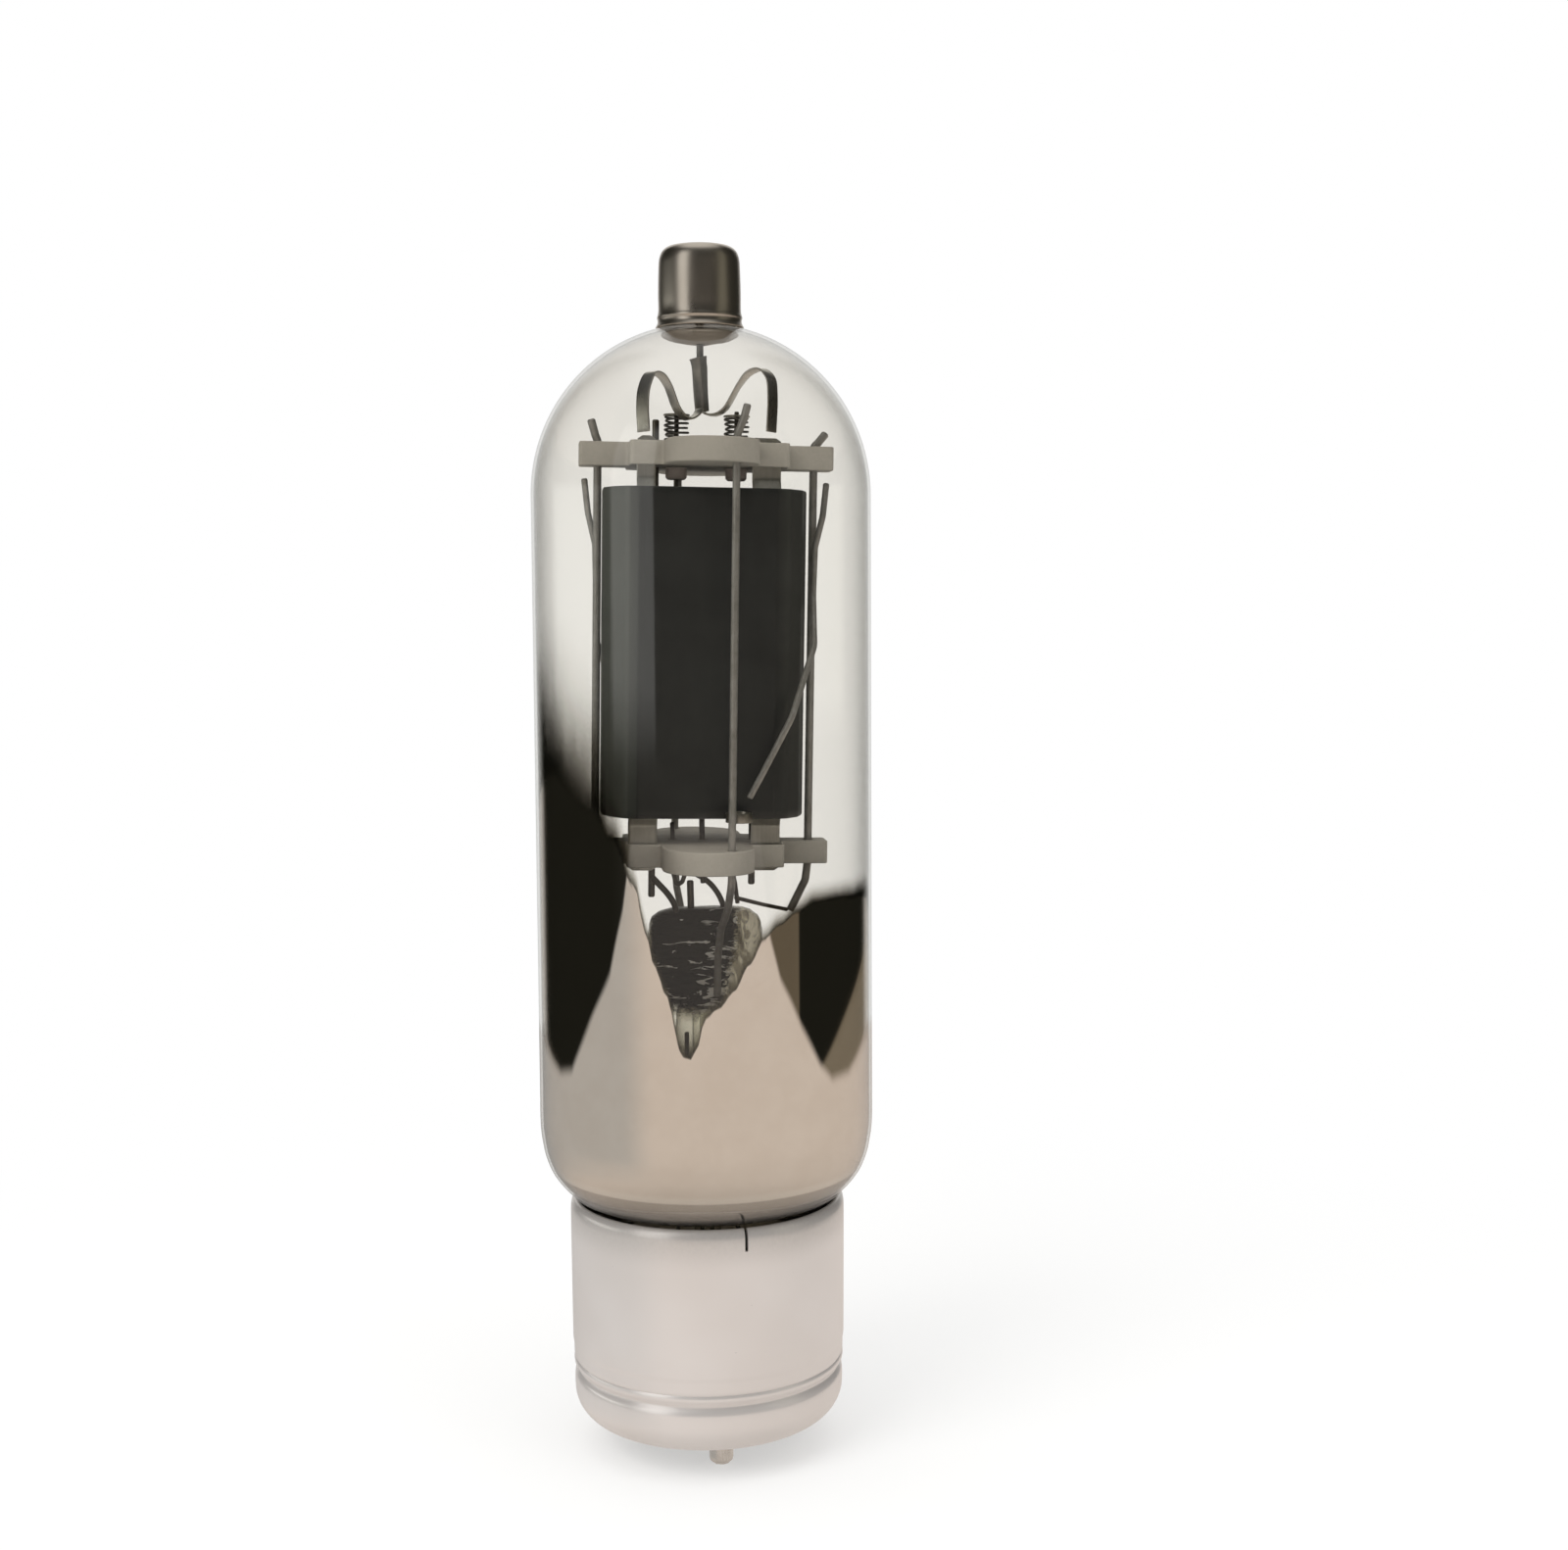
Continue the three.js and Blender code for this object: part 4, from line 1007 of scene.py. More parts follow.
def spacer(node, strap_name, hook_holes, low, high):
    holes = (opposite_holes(TIE_X, 0, 0.95) + opposite_holes(*FRONT_TIE, 0.9)
             + opposite_holes(GRID_X, 0, 0.85))
    for side, _ in SIDES:
        x, width = STRAPS[f"{strap_name}_{side}"]
        holes.append(rounded_box((width + 0.6) / 2, 0.55, 0.3, x, STRAP_Y))
    plate(node, spacer_outline(), holes + hook_holes, mount_z(low), mount_z(high), STEATITE,
          bevel=0.22)


spacer("top_spacer", "anode_strap", opposite_holes(HOOK_X, 0, 2.05, 36), 163.3, 167.4)
spacer("bottom_spacer", "lower_strap", opposite_holes(HOOK_X, 0, 0.8) + [circle(0, 0, 0.8)],
       94.8, 98.8)

# ---------------------------------------------------------------------- anode
ANODE_HALF_X, ANODE_HALF_Y = 17.35, 10.0
ANODE_SHIFT = -0.3                      # its middle is left of the axis
ANODE_LOW, ANODE_HIGH = 103.4, 159.6    # mount heights
# (distance from the middle, y), bend radius: one side of the front half, from the seam
ANODE_SIDE = [((ANODE_HALF_X, -0.35), 0), ((ANODE_HALF_X - 0.05, -2.6), 1.2),
              ((ANODE_HALF_X - 1.2, -6.4), 3.0), ((13.8, -9.3), 2.2),
              ((11.6, -ANODE_HALF_Y), 1.6)]


def anode_half(node, sign):
    """Pressed half shell, its wall closed along all four edges with an eased lip."""
    half_sheet = 0.25
    left = [((-x, y), r) for (x, y), r in ANODE_SIDE]
    points = split_long(fillet(left + ANODE_SIDE[::-1], steps=8), 1.2)
    low, high = mount_z(ANODE_LOW), mount_z(ANODE_HIGH)
    levels = [low + half_sheet * 0.3, low + 0.3]
    levels += [low + 0.3 + (high - low - 0.6) * k / 44 for k in range(1, 44)]
    levels += [high - 0.3, high - half_sheet * 0.3]
    count, rows = len(points), len(levels)
    normals = []
    for i in range(count):
        d = points[min(i + 1, count - 1)] - points[max(i - 1, 0)]
        normals.append(Vector((-d.y, d.x)).normalized())
    verts, faces = [], []
    # outer surface, then inner surface
    for face in (-1, 1):
        for j, level in enumerate(levels):
            lip = 0.55 if j in (0, rows - 1) else 1.0
            z = low if j == 0 else (high if j == rows - 1 else level)
            for i, p in enumerate(points):
                # the sheet is not perfectly flat
                wave = 0.05 * noise.noise(Vector((p.x * 0.12, level * 0.05, 7.0)))
                wave *= min(1, (i + 1) / 6, (count - i) / 6)
                ease = lip * (0.6 if i in (0, count - 1) else 1.0)
                q = p + normals[i] * (face * half_sheet * ease + wave)
                verts.append((sign * q.x + ANODE_SHIFT, sign * q.y, z))
    inner = rows * count
    for j in range(rows - 1):
        for i in range(count - 1):
            a, c = j * count + i, (j + 1) * count + i
            faces.append((a, a + 1, c + 1, c))
            faces.append((inner + a, inner + c, inner + c + 1, inner + a + 1))
        for i in (0, count - 1):
            a, c = j * count + i, (j + 1) * count + i
            faces.append((a, c, inner + c, inner + a))
    for j in (0, rows - 1):
        for i in range(count - 1):
            a = j * count + i
            faces.append((a, inner + a, inner + a + 1, a + 1))
    finish_mesh(node, verts, faces, ANODE_SHEET, sharp=50)


for face, sign in FACES:
    anode_half(f"anode_{face}_half", sign)

# ------------------------------------------------------ tie rods and getters
# Paths are (x, y, mount height).
bent("tie_rod_left", from_mount([
    (-19.95, -0.4, 171.3), (-19.15, -0.1, 168.6), (-TIE_X, 0, 167.6), (-TIE_X, 0, 94.8),
    (-18.4, 0.1, 91.6), (-15.6, 1.0, 86.2)]), 0.7, ROD_NICKEL)
bent("tie_rod_right", from_mount([
    (20.9, 0.4, 169.9), (19.5, 0.1, 168.2), (TIE_X, 0, 167.5), (TIE_X, 0, 94.8),
    (18.4, -0.1, 91.6), (15.6, -1.0, 86.2)]), 0.7, ROD_NICKEL, bend=2.2)

TIE_TOPS = {"front": (172.9, 170.2), "rear": (171.2, 169.4)}
for face, sign in FACES:
    tip, knee = TIE_TOPS[face]
    tie_path = [(5.2, -17.6, tip), (4.5, -17.55, knee), (*FRONT_TIE, 167.7),
                (*FRONT_TIE, 93.0), (3.3, -14.0, 88.4), (2.6, -9.0, 84.0), (2.4, -6.6, 79.0),
                (2.4, -6.4, 72.0)]
    bent(f"tie_rod_{face}", from_mount([(sign * x, sign * y, z) for x, y, z in tie_path]),
         0.65, ROD_NICKEL, bend=3.5)

GETTER_WIRE = [(21.0, -0.4, 161.2), (20.3, -1.6, 155.5), (19.0, -1.6, 150.0),
               (18.8, -1.6, 142.0), (18.4, -6.8, 133.0), (14.0, -12.3, 121.0),
               (8.6, -13.0, 110.6), (6.8, -13.0, 107.2)]
for side, sign in SIDES[::-1]:
    bent(f"getter_wire_{side}",
         from_mount([(sign * x, sign * y, z) for x, y, z in GETTER_WIRE]),
         0.55, ROD_NICKEL, bend=5.0)

# (radius, mount height)
GETTER_CUP = [(0.9, 103.1), (2.3, 103.1), (2.3, 104.8), (2.05, 104.8), (2.05, 103.4),
              (0.9, 103.4)]
for face, sign in FACES:
    cup = from_mount(fillet(GETTER_CUP, closed=True, steps=4, radius=0.12))
    lathe(f"getter_cup_{face}", cup, NICKEL, seg=48, at=(sign * 5.1, sign * -13.0))

# ----------------------------------------------------------------------- grid
for side, sign, low, high in (("left", -1, 88.6, 171.5), ("right", 1, 90.8, 168.8)):
    wire(f"grid_rod_{side}", from_mount([(sign * GRID_X, 0, z) for z in (low, 130, high)]),
         0.6, LEAD_NICKEL, sides=18)


def grid_helix():
    """Flat oval turns drawn over the two side rods."""
    turns, steps, low, high = 16, 40, 107.0, 156.0
    half_x, half_y = 10.0, 3.3
    points = []
    for i in range(turns * steps + 1):
        a = TAU * i / steps
        c, s = math.cos(a), math.sin(a)
        points.append((half_x * math.copysign(abs(c) ** 0.9, c),
                       half_y * math.copysign(abs(s) ** 0.8, s),
                       mount_z(low + (high - low) * i / (turns * steps))))
    wire("grid_helix", points, 0.16, GRID_WIRE, sides=8, sharp=0)


grid_helix()

# --------------------------------- filament, its hooks and tension springs
SPRING_R, SPRING_WIRE_R = 1.95, 0.2
SPRING_LOW, SPRING_HIGH = 168.0, 172.0
# (radius, mount height)
COLLAR = [(0.55, 172.2), (2.3, 172.2), (2.3, 172.5), (0.55, 172.5)]
BUSH = [(0.6, 161.3), (1.5, 161.3), (1.85, 161.7), (1.85, 167.45), (2.6, 167.45),
        (2.6, 167.75), (0.6, 167.75)]


def hook_rod(side, x, body):
    points = [(x, 0, 173.2), (x, 0, 159.4), (x + 0.55, 0, 158.3), (x + 0.5, 0, 157.2),
              (x - 0.25, 0, 156.7), (x - 0.9, 0, 157.3)]
    bent(f"hook_rod_{side}", from_mount(points), 0.4, LEAD_NICKEL, bend=0.7, sides=16,
         body=body)


def spring(side, sign, x):
    """Compression spring with closed end coils; it rides no body."""
    turns, steps, end_rise = 5.5, 32, 0.18
    total = int(turns * steps)
    points = []
    for i in range(total + 1):
        u = i / total
        a = TAU * i / steps + (math.pi if sign > 0 else 0)
        k = min(max((u * turns - 0.5) / (turns - 1.0), 0), 1)
        z = (SPRING_LOW + end_rise * min(u * turns, 0.5) / 0.5
             + (SPRING_HIGH - SPRING_LOW - 2 * end_rise) * k
             + end_rise * max(0, (u * turns - turns + 0.5) / 0.5))
        wobble = 0.12 * math.sin(2.3 * a + sign)
        points.append((x + SPRING_R * math.cos(a) + wobble, SPRING_R * math.sin(a),
                       mount_z(z)))
    ob = wire(f"spring_{side}", points, SPRING_WIRE_R, FINE_WIRE, sides=8, sharp=0, body=None)
    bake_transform(ob)


def filament(side, sign, x):
    """One limb: up, over the hook and back down to the middle."""
    y = 1.1
    limb = fillet([((x + sign * 1.6, y, mount_z(102.2)), 0),
                   ((x + sign * 0.9, y, mount_z(157.6)), 0.8),
                   ((x + sign * 0.2, y, mount_z(158.6)), 0.5),
                   ((x - sign * 0.55, y, mount_z(157.9)), 0.8),
                   ((sign * 1.3, y, mount_z(103.4)), 0)], steps=6)
    ob = wire(f"filament_{side}", split_long(limb, 2.0), 0.22, FINE_WIRE, sides=10, body=None)
    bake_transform(ob)


for side, sign in SIDES:
    x, hook_body = sign * HOOK_X, f"hook_{side}"
    hook_rod(side, x, hook_body)
    lathe(f"spring_collar_{side}", from_mount(fillet(COLLAR, closed=True, steps=3, radius=0.1)),
          NICKEL, seg=48, at=(x, 0), body=hook_body)
    lathe(f"hook_bush_{side}", from_mount(fillet(BUSH, closed=True, steps=3, radius=0.12)),
          BUSH_CERAMIC, seg=48, at=(x, 0))
    spring(side, sign, x)
    filament(side, sign, x)

bent("filament_center_hook", from_mount([
    (0, 1.1, 104.4), (0, 0.7, 101.5), (0, 0, 99.6), (0, 0, 94.0), (0.3, -0.2, 91.0)]),
    0.5, LEAD_NICKEL, bend=1.2)
bent("filament_lead_left", from_mount([
    (-HOOK_X, 1.1, 101.6), (-HOOK_X, 0.4, 100.4), (-HOOK_X, 0, 99.4), (-HOOK_X, 0, 93.6),
    (-4.4, 0, 90.6), (-3.4, 0, 91.2), (-2.7, 0, 93.4)]), 0.4, LEAD_NICKEL, bend=0.8)
bent("filament_lead_right", from_mount([
    (HOOK_X, 1.1, 101.6), (HOOK_X, 0.4, 100.4), (HOOK_X, 0, 99.4), (HOOK_X, 0, 94.2),
    (5.9, -0.1, 91.0), (6.4, -0.2, 87.4)]), 0.4, LEAD_NICKEL)

# leads between the mount and the stem
wire("grid_lead", spline(from_mount([
    (-9.3, -1.2, 92.4), (-8.2, -1.4, 91.2), (-6.6, -1.7, 89.4), (-5.45, -2.1, 87.4),
    (-5.2, -2.2, 85.0), (-5.2, -2.2, 78.0)]), 6), 0.55, LEAD_NICKEL, sides=16)
wire("center_lead", from_mount([(-2.6, -0.4, 91.6), (-2.5, -0.4, 86.4), (-2.3, -0.4, 80.0)]),
     0.6, LEAD_NICKEL, sides=16)
wire("arch_lead", spline(from_mount([
    (-3.9, 1.6, 93.6), (-1.3, 1.4, 92.4), (1.0, 1.0, 90.8), (2.7, 0.6, 88.4), (3.6, 0.4, 85.4),
    (3.8, 0.3, 79.0)]), 6), 0.5, LEAD_NICKEL, sides=16)
bent("diagonal_brace", from_mount([(4.4, -15.4, 90.6), (10.0, -8.6, 88.4), (14.9, -2.2, 86.6)]),
     0.35, LEAD_NICKEL, bend=8.0)

# ----------------------------------------------------------------- glass stem
# (height above the base, half width, half depth, exponent of the outline)
STEM = [
    (34.0, 20.9, 20.9, 2.0), (37.0, 20.95, 20.95, 2.0), (39.3, 20.9, 20.9, 2.0),
    (41.0, 20.3, 20.3, 2.0), (42.6, 19.3, 19.3, 2.0), (44.4, 17.0, 17.0, 2.0),
    (46.3, 14.0, 14.0, 2.0), (48.6, 11.6, 11.6, 2.0), (51.4, 9.5, 9.4, 2.0),
    (54.4, 8.1, 8.1, 2.0), (57.5, 7.3, 7.3, 2.0), (61.0, 6.9, 6.9, 2.0),
    (65.0, 6.7, 6.6, 2.0), (67.5, 7.0, 6.3, 2.1), (69.5, 8.0, 5.7, 2.2),
    (71.5, 8.9, 5.0, 2.4), (73.8, 9.35, 4.5, 2.7), (76.5, 9.6, 4.15, 3.0),
    (80.0, 9.85, 4.0, 3.2), (83.5, 10.1, 4.0, 3.2), (86.0, 10.15, 4.0, 3.2),
    (87.8, 9.9, 3.95, 3.1), (89.2, 9.2, 3.7, 3.0), (90.1, 8.2, 3.2, 2.8), (90.6, 6.6, 2.2, 2.6)]
# (height above the base, radius) inside the tube, from below the press down
STEM_BORE = [
    (75.9, 0.9), (75.2, 3.4), (74.0, 4.7), (72.0, 5.2), (69.0, 5.4), (65.0, 5.5), (61.0, 5.75),
    (58.0, 6.1), (54.5, 7.0), (52.0, 8.2), (49.2, 10.8), (47.5, 13.1), (45.4, 16.2),
    (43.8, 18.3), (42.0, 19.4), (39.6, 19.8), (34.0, 19.8)]


def stem():
    """Flared tube pressed flat round the wires."""
    seg, steps = 96, 120
    low, high = STEM[0][0], STEM[-1][0]
    verts, faces = [], []
    for j in range(steps + 1):
        z = low + (high - low) * (j / steps)
        half_x, half_y, power = interpolate(STEM, z)
        press = min(max((z - 66) / 8, 0), 1)
        for k in range(seg):
            a = TAU * k / seg
            s, c = math.sin(a), -math.cos(a)
            x = half_x * math.copysign(abs(s) ** (2 / power), s)
            y = half_y * math.copysign(abs(c) ** (2 / power), c)
            # folds left by the pinching jaws
            fold = 0.32 * press * noise.noise(Vector((x * 0.30, y * 0.5, z * 0.42)))
            fold += 0.14 * press * noise.noise(Vector((x * 0.9, y * 0.9 + 5, z * 1.0)))
            r = math.hypot(x, y)
            verts.append((x + x / r * fold, y + y / r * fold, base_z(z)))
    top = len(verts)
    verts.append((0, 0, base_z(90.7)))
    bore = []
    for z, r in STEM_BORE:
        bore.append(len(verts))
        for k in range(seg):
            a = TAU * k / seg
            verts.append((r * math.sin(a), -r * math.cos(a), base_z(z)))
    bore_tip = len(verts)
    verts.append((0, 0, base_z(76.0)))
    for j in range(steps):
        faces += band(j * seg, (j + 1) * seg, seg)
    for k in range(seg):
        i = (k + 1) % seg
        faces.append((steps * seg + k, steps * seg + i, top))
        faces.append((bore_tip, bore[0] + k, bore[0] + i))
        # the last pair joins the bore to the outside at the bottom edge
        for p, q in zip(bore, bore[1:] + [0]):
            faces.append((p + k, q + k, q + i, p + i))
    finish_mesh("stem", verts, faces, STEM_GLASS, sharp=60)


stem()
EXHAUST_TUBE = [(1.1, 28.0), (2.4, 28.0), (2.4, 72.0), (1.1, 72.0)]
lathe("exhaust_tube", fillet(from_base(EXHAUST_TUBE), closed=True, steps=3, radius=0.3),
      TUBE_GLASS, seg=40)

# ----------------------------------------------------------------------- base
# (radius, height above the base), up the outside, over the rim and down the inside
SHELL_WALL = [
    (23.88, 6.6), (23.86, 7.5), (23.78, 8.1), (23.58, 8.55), (23.36, 8.85), (23.28, 9.12),
    (23.38, 9.4), (23.66, 9.7), (23.9, 10.05), (23.98, 10.45), (23.96, 10.8), (23.86, 11.08),
    (23.8, 11.2), (23.9, 11.38), (23.95, 11.8), (23.97, 13.2), (24.02, 13.7), (24.1, 14.1),
    (24.14, 14.6), (24.18, 20.0), (24.22, 28.0), (24.25, 34.0), (24.25, 37.2), (24.22, 38.1),
    (24.1, 38.8), (23.88, 39.3), (23.55, 39.62), (23.2, 39.7), (23.02, 39.62), (22.98, 39.4),
    (23.1, 38.9), (23.45, 38.3), (23.5, 37.6), (23.4, 14.4), (23.0, 13.4), (22.98, 6.0)]
BASE_CEMENT = [(22.5, 28.5), (23.35, 28.5), (23.38, 38.2), (23.0, 38.9), (22.5, 39.0)]
SHELL_SLOT_TURN = math.radians(10.5)    # from the front towards the right


def shell_corner(radius_x, radius_z, start, sweep, steps):
    """Rounded bottom corner; the angles are in degrees."""
    angles = [math.radians(start + sweep * k / steps) for k in range(1, steps + 1)]
    return [(18.4 + radius_x * math.cos(a), 5.6 + radius_z * math.sin(a)) for a in angles]


def base_shell():
    """Turned shell with a narrow slot cut down from its rim."""
    profile = ([(17.6, 0.0)] + shell_corner(5.45, 5.5, -90, 84, 14) + SHELL_WALL
               + shell_corner(4.6, 4.6, -6, -84, 8) + [(17.6, 0.9)])
    shell = lathe("base_shell", from_base(profile), BASE_METAL, seg=180, sharp=50)
    verts, faces = tube_mesh([(0, 0, 35.9), (0, 0, 37), (0, 0, 43)], None,
                             section=(0.27, 3.0, 0.2), across=[(1, 0, 0)] * 3)
    mesh = mesh_from("slot_cut", [(x, y - SHELL_R, base_z(z)) for x, y, z in verts], faces)
    mesh.transform(Matrix.Rotation(SHELL_SLOT_TURN, 4, "Z"))
    cutter = bpy.data.objects.new("slot_cut", mesh)
    scene.collection.objects.link(cutter)
    cut = shell.modifiers.new("cut", "BOOLEAN")
    cut.operation = "DIFFERENCE"
    cut.solver = "EXACT"
    cut.object = cutter
    bpy.context.view_layer.update()
    graph = bpy.context.evaluated_depsgraph_get()
    result = bpy.data.meshes.new_from_object(shell.evaluated_get(graph))
    shell.modifiers.clear()
    shell.data = result
    bpy.data.objects.remove(cutter)
    shade_smooth(result, 40)


def pin(index, x, y):
    """Hollow pin, closed by a slightly rough tip."""
    node = f"pin_{index + 1}"
    r = (high_corner(node).x - low_corner(node).x) / 2
    tip = low_corner(node).z
    profile = [(0.0, tip), (r * 0.42, tip + 0.02), (r * 0.66, tip + 0.16),
               (r * 0.80, tip + 0.42), (r * 0.88, tip + 0.62), (r - 0.12, tip + 0.75),
               (r - 0.02, tip + 1.1), (r, tip + 1.6)]
    profile += from_base([(r, 6.0), (r - 0.1, 6.2), (r - 0.5, 6.2), (r - 0.6, 6.0),
                          (r - 0.6, -2.9), (r - 0.8, -3.0), (0, -3.0)])

    def tip_wobble(ring_r, z, a):
        if tip + 0.01 < z < tip + 0.7 and ring_r < r - 0.1:
            spot = Vector((ring_r * math.sin(a) * 0.9, ring_r * math.cos(a) * 0.9,
                           index * 3.7))
            z += abs(0.22 * noise.noise(spot))
        return ring_r, z

    lathe(node, profile, PIN_METAL, seg=48, at=(x, y), closed=False, wobble=tip_wobble)


base_shell()
lathe("base_cement", from_base(BASE_CEMENT), NECK_CEMENT, seg=120)
PINS = [(PIN_CIRCLE_R * math.cos(math.radians(d)), PIN_CIRCLE_R * math.sin(math.radians(d)))
        for d in (4, 94, 184, 274)]
plate("base_insulator", circle(0, 0, 17.0, 120), [circle(x, y, 2.7, 36) for x, y in PINS],
      base_z(0.2), base_z(5.2), STEATITE, bevel=0.3)
# (share of the pin's distance from the axis, height above the base) along a base lead
BASE_LEAD = [(1, -2.2), (1, 8.0), (0.75, 22.0), (0.27, 38.0), (0.27, 68.5)]
for i, (x, y) in enumerate(PINS):
    pin(i, x, y)
    bent(f"base_lead_{i + 1}", from_base([(x * k, y * k, z) for k, z in BASE_LEAD]),
         0.4, LEAD_NICKEL, bend=8.0, sides=12)
wire("bayonet_pin", from_base([(0, y, 17.0) for y in (24.2, 25.4, 26.8)]), 1.15, PIN_METAL,
     sides=28, round_ends=0.3)


# ------------------------------------------------------------- floor and light
def floor():
    """Round white floor just under the pins, glowing to pure white away from the tube."""
    seg, z = 96, -0.02
    rings = [30, 60, 90, 130, 200, 400, 1000, 3000]
    verts, faces = [(0, 0, z)], []
    for r in rings:
        verts += [(r * math.sin(TAU * k / seg), -r * math.cos(TAU * k / seg), z)
                  for k in range(seg)]
    for k in range(seg):
        j = (k + 1) % seg
        faces.append((0, 1 + k, 1 + j))
        for ring in range(len(rings) - 1):
            a, c = 1 + ring * seg, 1 + (ring + 1) * seg
            faces.append((a + k, c + k, c + j, a + j))
    mesh = mesh_from("floor", verts, faces)
    ob = bpy.data.objects.new("floor", mesh)
    scene.collection.objects.link(ob)
    mat, net = new_material("floor_white")
    length = net.new("VectorMath", operation="LENGTH")
    net.put(length.inputs[0], net.new("NewGeometry").outputs["Position"])
    # the distance is in metres; the glow never falls below 0.45
    far = net.ramp(length.outputs["Value"], 0.02, 0.26, low=0.45, high=1.0)
    paint = net.shader("BsdfDiffuse", Color=(0.93, 0.93, 0.925))
    glow = net.shader("Emission", Color=(1, 1, 1), Strength=1.0)
    net.output(net.mix_shader(far, paint, glow))
    mesh.materials.append(mat)
    ob.visible_glossy = False


# Depth of the table edge below the horizon, seen from the tube:
# (degrees away from the viewer, degrees down)
TABLE_LEFT = [(0, 6.0), (50, 6.5), (58, 8.6), (69, 10.3), (90, 11.8), (107, 12.9),
              (122, 12.9), (136, 12.5), (160, 11.6)]
TABLE_RIGHT = [(0, 6.0), (38, 6.5), (43.5, 9.1), (52.7, 10.5), (69.4, 11.8), (86, 12.8),
               (98, 13.2), (118, 13.0), (136, 12.4), (160, 11.6)]


def build_world():
    """Studio seen in reflections: a table below, dark flags in front, pale backdrop behind.

    Azimuth is in degrees from the viewer, positive to the viewer's right."""
    world = bpy.data.worlds.new("studio")
    scene.world = world
    world.use_nodes = True
    net = Nodes(world.node_tree)
    x, y, z = net.split(net.new("TexCoord").outputs["Generated"])
    viewer_x, viewer_y = math.sin(VIEW), -math.cos(VIEW)
    toward = net.weighted(x, viewer_x, y, viewer_y)
    rightward = net.weighted(x, -viewer_y, y, viewer_x)
    azimuth = net.mul(net.math("ARCTAN2", rightward, toward), 180 / math.pi)
    sine = net.math("MINIMUM", net.math("MAXIMUM", z, -1.0), 1.0)
    elevation = net.mul(net.math("ARCSINE", sine), 180 / math.pi)
    away = net.math("ABSOLUTE", azimuth)

    def curve(value, rows):
        total = None
        for (start, low), (end, high) in zip(rows, rows[1:]):
            step = net.ramp(value, start, end, low=0.0, high=high - low, smooth=False)
            total = step if total is None else net.add(total, step)
        return net.add(total, rows[0][1])

    def panel(color, over, across, upward, soft, soft_up):
        """Glowing rectangle over the colours so far; its edges and softness in degrees."""
        (left, right), (low, high) = across, upward
        area = net.mul(net.ramp(azimuth, left - soft, left + soft),
                       net.ramp(azimuth, right + soft, right - soft))
        rows = net.mul(net.ramp(elevation, low - soft_up, low + soft_up),
                       net.ramp(elevation, high + soft_up * 3, high - soft_up * 3))
        return net.mix(net.mul(area, rows), over, color)

    edge_left = curve(net.mul(azimuth, -1.0), TABLE_LEFT)
    edge_right = curve(azimuth, TABLE_RIGHT)
    edge = net.mix_value(net.math("GREATER_THAN", azimuth, 0.0), edge_left, edge_right)

    dark = net.mix(net.ramp(away, 20, 70), (0.045, 0.045, 0.042), (0.013, 0.013, 0.010))
    # a brown flag to the right of the viewer, with a dark slanting one in the middle of it
    slanted = net.add(azimuth, net.mul(net.add(elevation, 10.4), -19.0))
    gap = net.mul(net.ramp(azimuth, 66.5, 68.5), net.ramp(slanted, 137.0, 131.0))
    brown = net.mul(net.ramp(azimuth, 36, 40), net.ramp(azimuth, 160, 150),
                    net.sub(1.0, gap), net.ramp(elevation, -5.5, -7.5))
    brown_tone = net.mix(net.ramp(azimuth, 60, 100), (0.135, 0.112, 0.080),
                         (0.215, 0.185, 0.140))
    color = net.mix(brown, dark, brown_tone)
    # pale backdrop, then the soft light overhead
    color = net.mix(net.ramp(away, 143, 158), color, (0.90, 0.90, 0.885))
    color = net.mix(net.ramp(elevation, 50, 70), color, (0.85, 0.85, 0.84))
    color = panel((1.0, 1.0, 0.985), color, across=(-63, -32), upward=(-3.5, 40),
                  soft=1.0, soft_up=1.5)
    color = panel((0.22, 0.215, 0.175), color, across=(56, 84), upward=(-5.5, 40),
                  soft=6.0, soft_up=2.0)
    color = panel((1.25, 1.28, 1.23), color, across=(-118, -76), upward=(-3.2, 5.0),
                  soft=6.0, soft_up=1.0)
    # warm pale table, greyer on the viewer's left
    on_table = net.ramp(net.add(elevation, edge), 0.22, -0.22)
    table = net.mix(net.ramp(elevation, -70, -10), (0.52, 0.47, 0.425), (0.695, 0.622, 0.565))
    grey = net.mul(net.ramp(azimuth, -34, -62), net.ramp(elevation, -40, -18))
    table = net.mix(grey, table, (0.51, 0.495, 0.475))
    color = net.mix(on_table, color, table)
    # only reflections see the studio; other rays get an even light, the camera white
    light_path = net.new("LightPath").outputs
    color = net.mix(light_path["Is Glossy Ray"], (0.80, 0.80, 0.79), color)
    color = net.mix(light_path["Is Camera Ray"], color, (1.0, 1.0, 1.0))
    net.output(net.shader("Background", Color=color, Strength=1.0), kind="World")


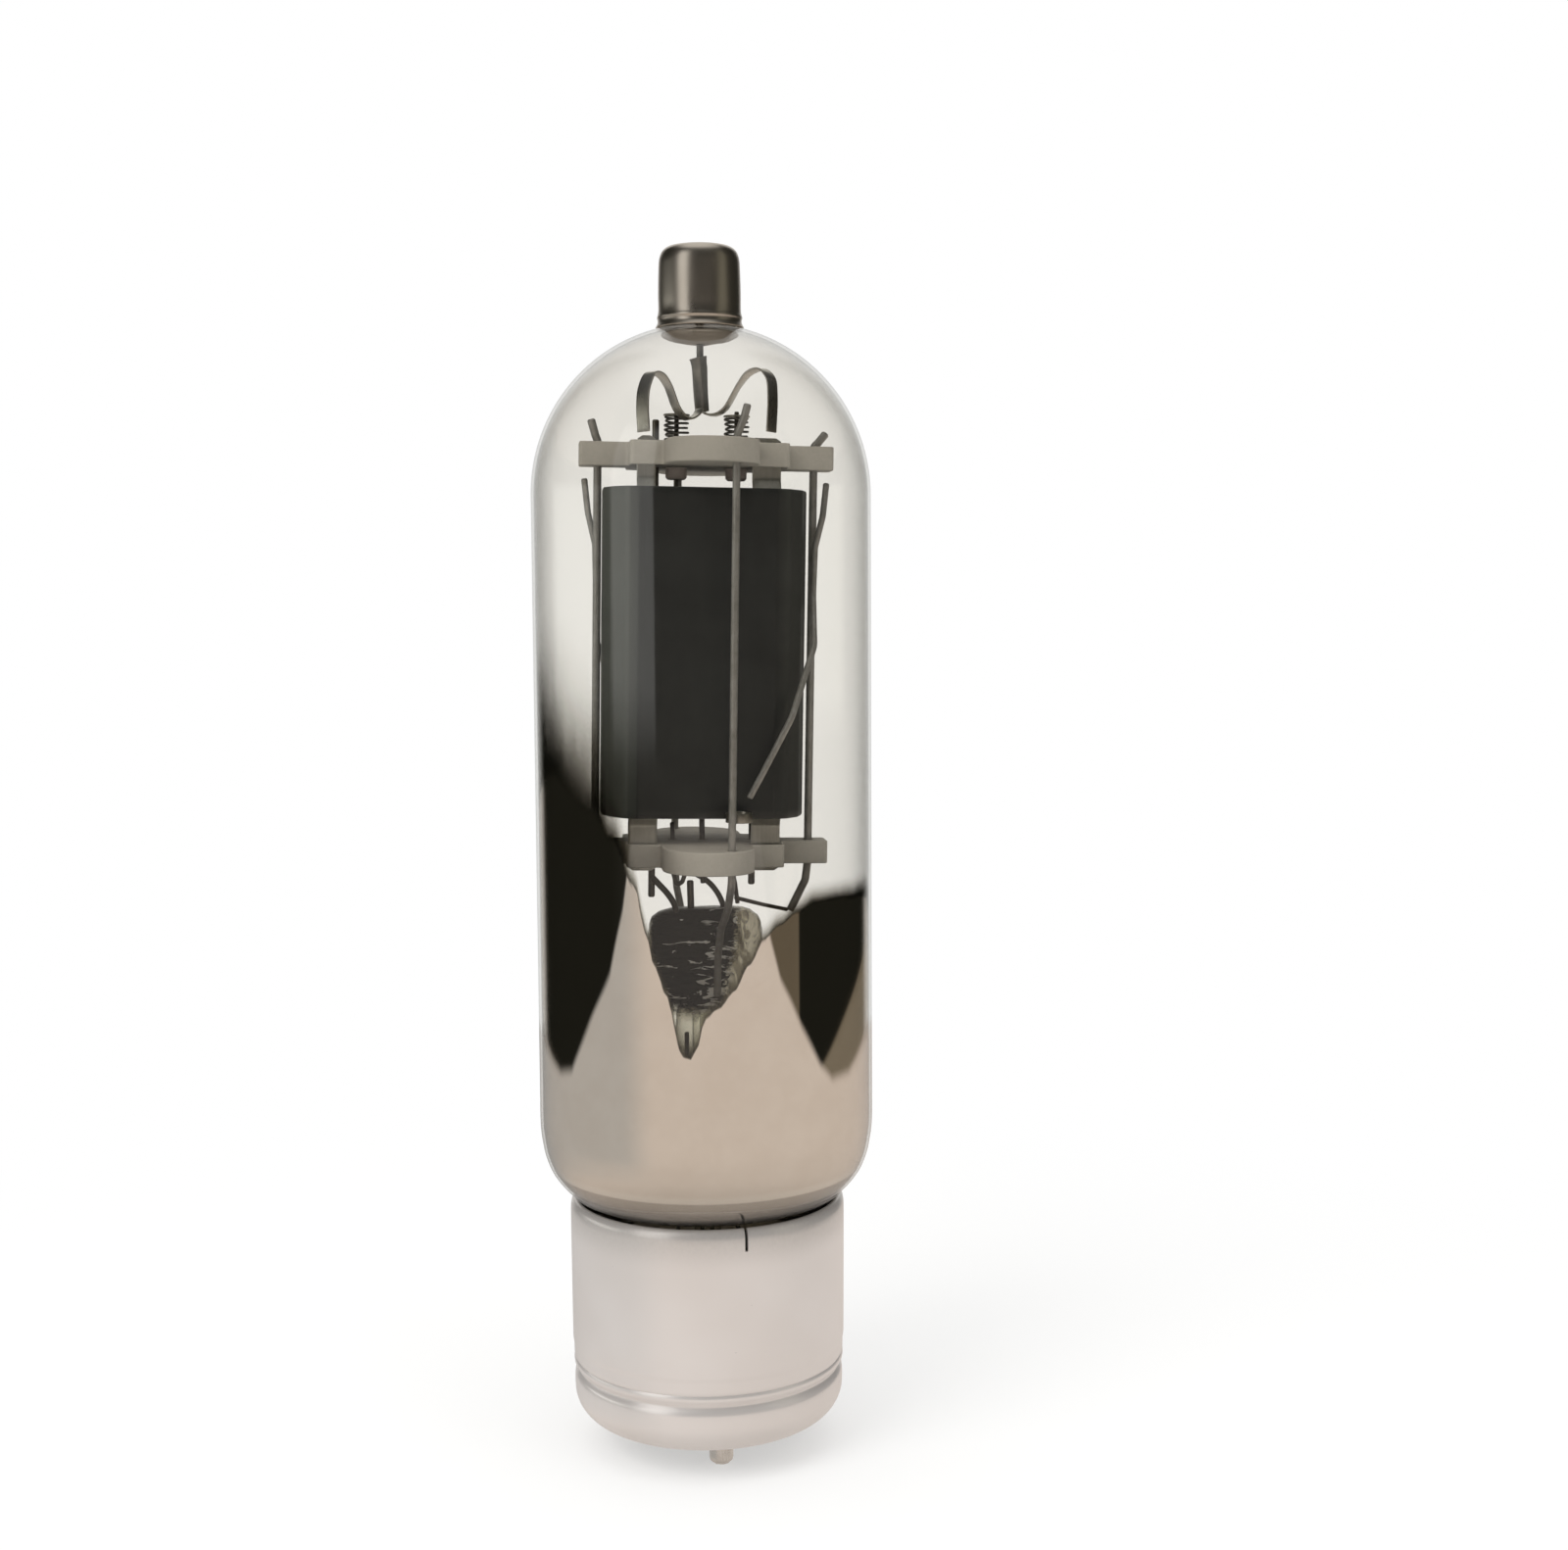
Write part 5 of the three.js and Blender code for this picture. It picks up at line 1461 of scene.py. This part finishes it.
def area_light(name, azimuth, elevation, distance, size, power, color=(1, 1, 1)):
    """Disk light aimed at the tube. Degrees from the viewer, metres and watts."""
    a, e = math.radians(azimuth) + VIEW, math.radians(elevation)
    direction = Vector((math.sin(a) * math.cos(e), -math.cos(a) * math.cos(e), math.sin(e)))
    light = bpy.data.lights.new(name, "AREA")
    light.shape = "DISK"
    light.size = size
    light.energy = power
    light.color = color
    ob = bpy.data.objects.new(name, light)
    scene.collection.objects.link(ob)
    ob.location = Vector((0, 0, 0.11)) + direction * distance
    ob.rotation_euler = (-direction).to_track_quat("-Z", "Y").to_euler()
    ob.visible_glossy = False
    ob.visible_camera = False


floor()
build_world()
area_light("key", azimuth=-42, elevation=38, distance=0.9, size=0.55, power=3.2,
           color=(1.0, 0.995, 0.98))
area_light("fill", azimuth=50, elevation=20, distance=1.1, size=0.8, power=1.4,
           color=(1.0, 0.99, 0.975))
area_light("top", azimuth=0, elevation=80, distance=0.9, size=0.8, power=1.5)

# ---------------------------------------------------------------------- camera
CAMERA_DISTANCE, CAMERA_HEIGHT = 360, 144.3    # from the axis, and above the base
CAMERA_YAW = math.radians(2.2388)              # to the right
CAMERA_PITCH = math.radians(4.8209)            # down
CAMERA_ROLL = math.radians(-0.3263)


def camera():
    data = bpy.data.cameras.new("camera")
    data.sensor_width = 36.0
    data.lens = 47.292
    data.clip_start = 0.01
    data.clip_end = 20.0
    ob = bpy.data.objects.new("camera", data)
    scene.collection.objects.link(ob)
    scene.camera = ob
    ob.location = (CAMERA_DISTANCE * math.sin(VIEW) * MM,
                   -CAMERA_DISTANCE * math.cos(VIEW) * MM, base_z(CAMERA_HEIGHT) * MM)
    ahead = Vector((-math.sin(VIEW), math.cos(VIEW), 0))
    right = Vector((math.cos(VIEW), math.sin(VIEW), 0))
    level = ahead * math.cos(CAMERA_YAW) + right * math.sin(CAMERA_YAW)
    aim = level * math.cos(CAMERA_PITCH) - Vector((0, 0, 1)) * math.sin(CAMERA_PITCH)
    turn = aim.normalized().to_track_quat("-Z", "Y").to_matrix()
    ob.rotation_euler = (turn @ Matrix.Rotation(CAMERA_ROLL, 3, "Z")).to_euler()


camera()
scene.view_settings.view_transform = "Standard"
scene.view_settings.look = "None"
scene.view_settings.exposure = 0.0
scene.view_settings.gamma = 1.0
scene.cycles.transparent_max_bounces = 32
scene.cycles.max_bounces = 12
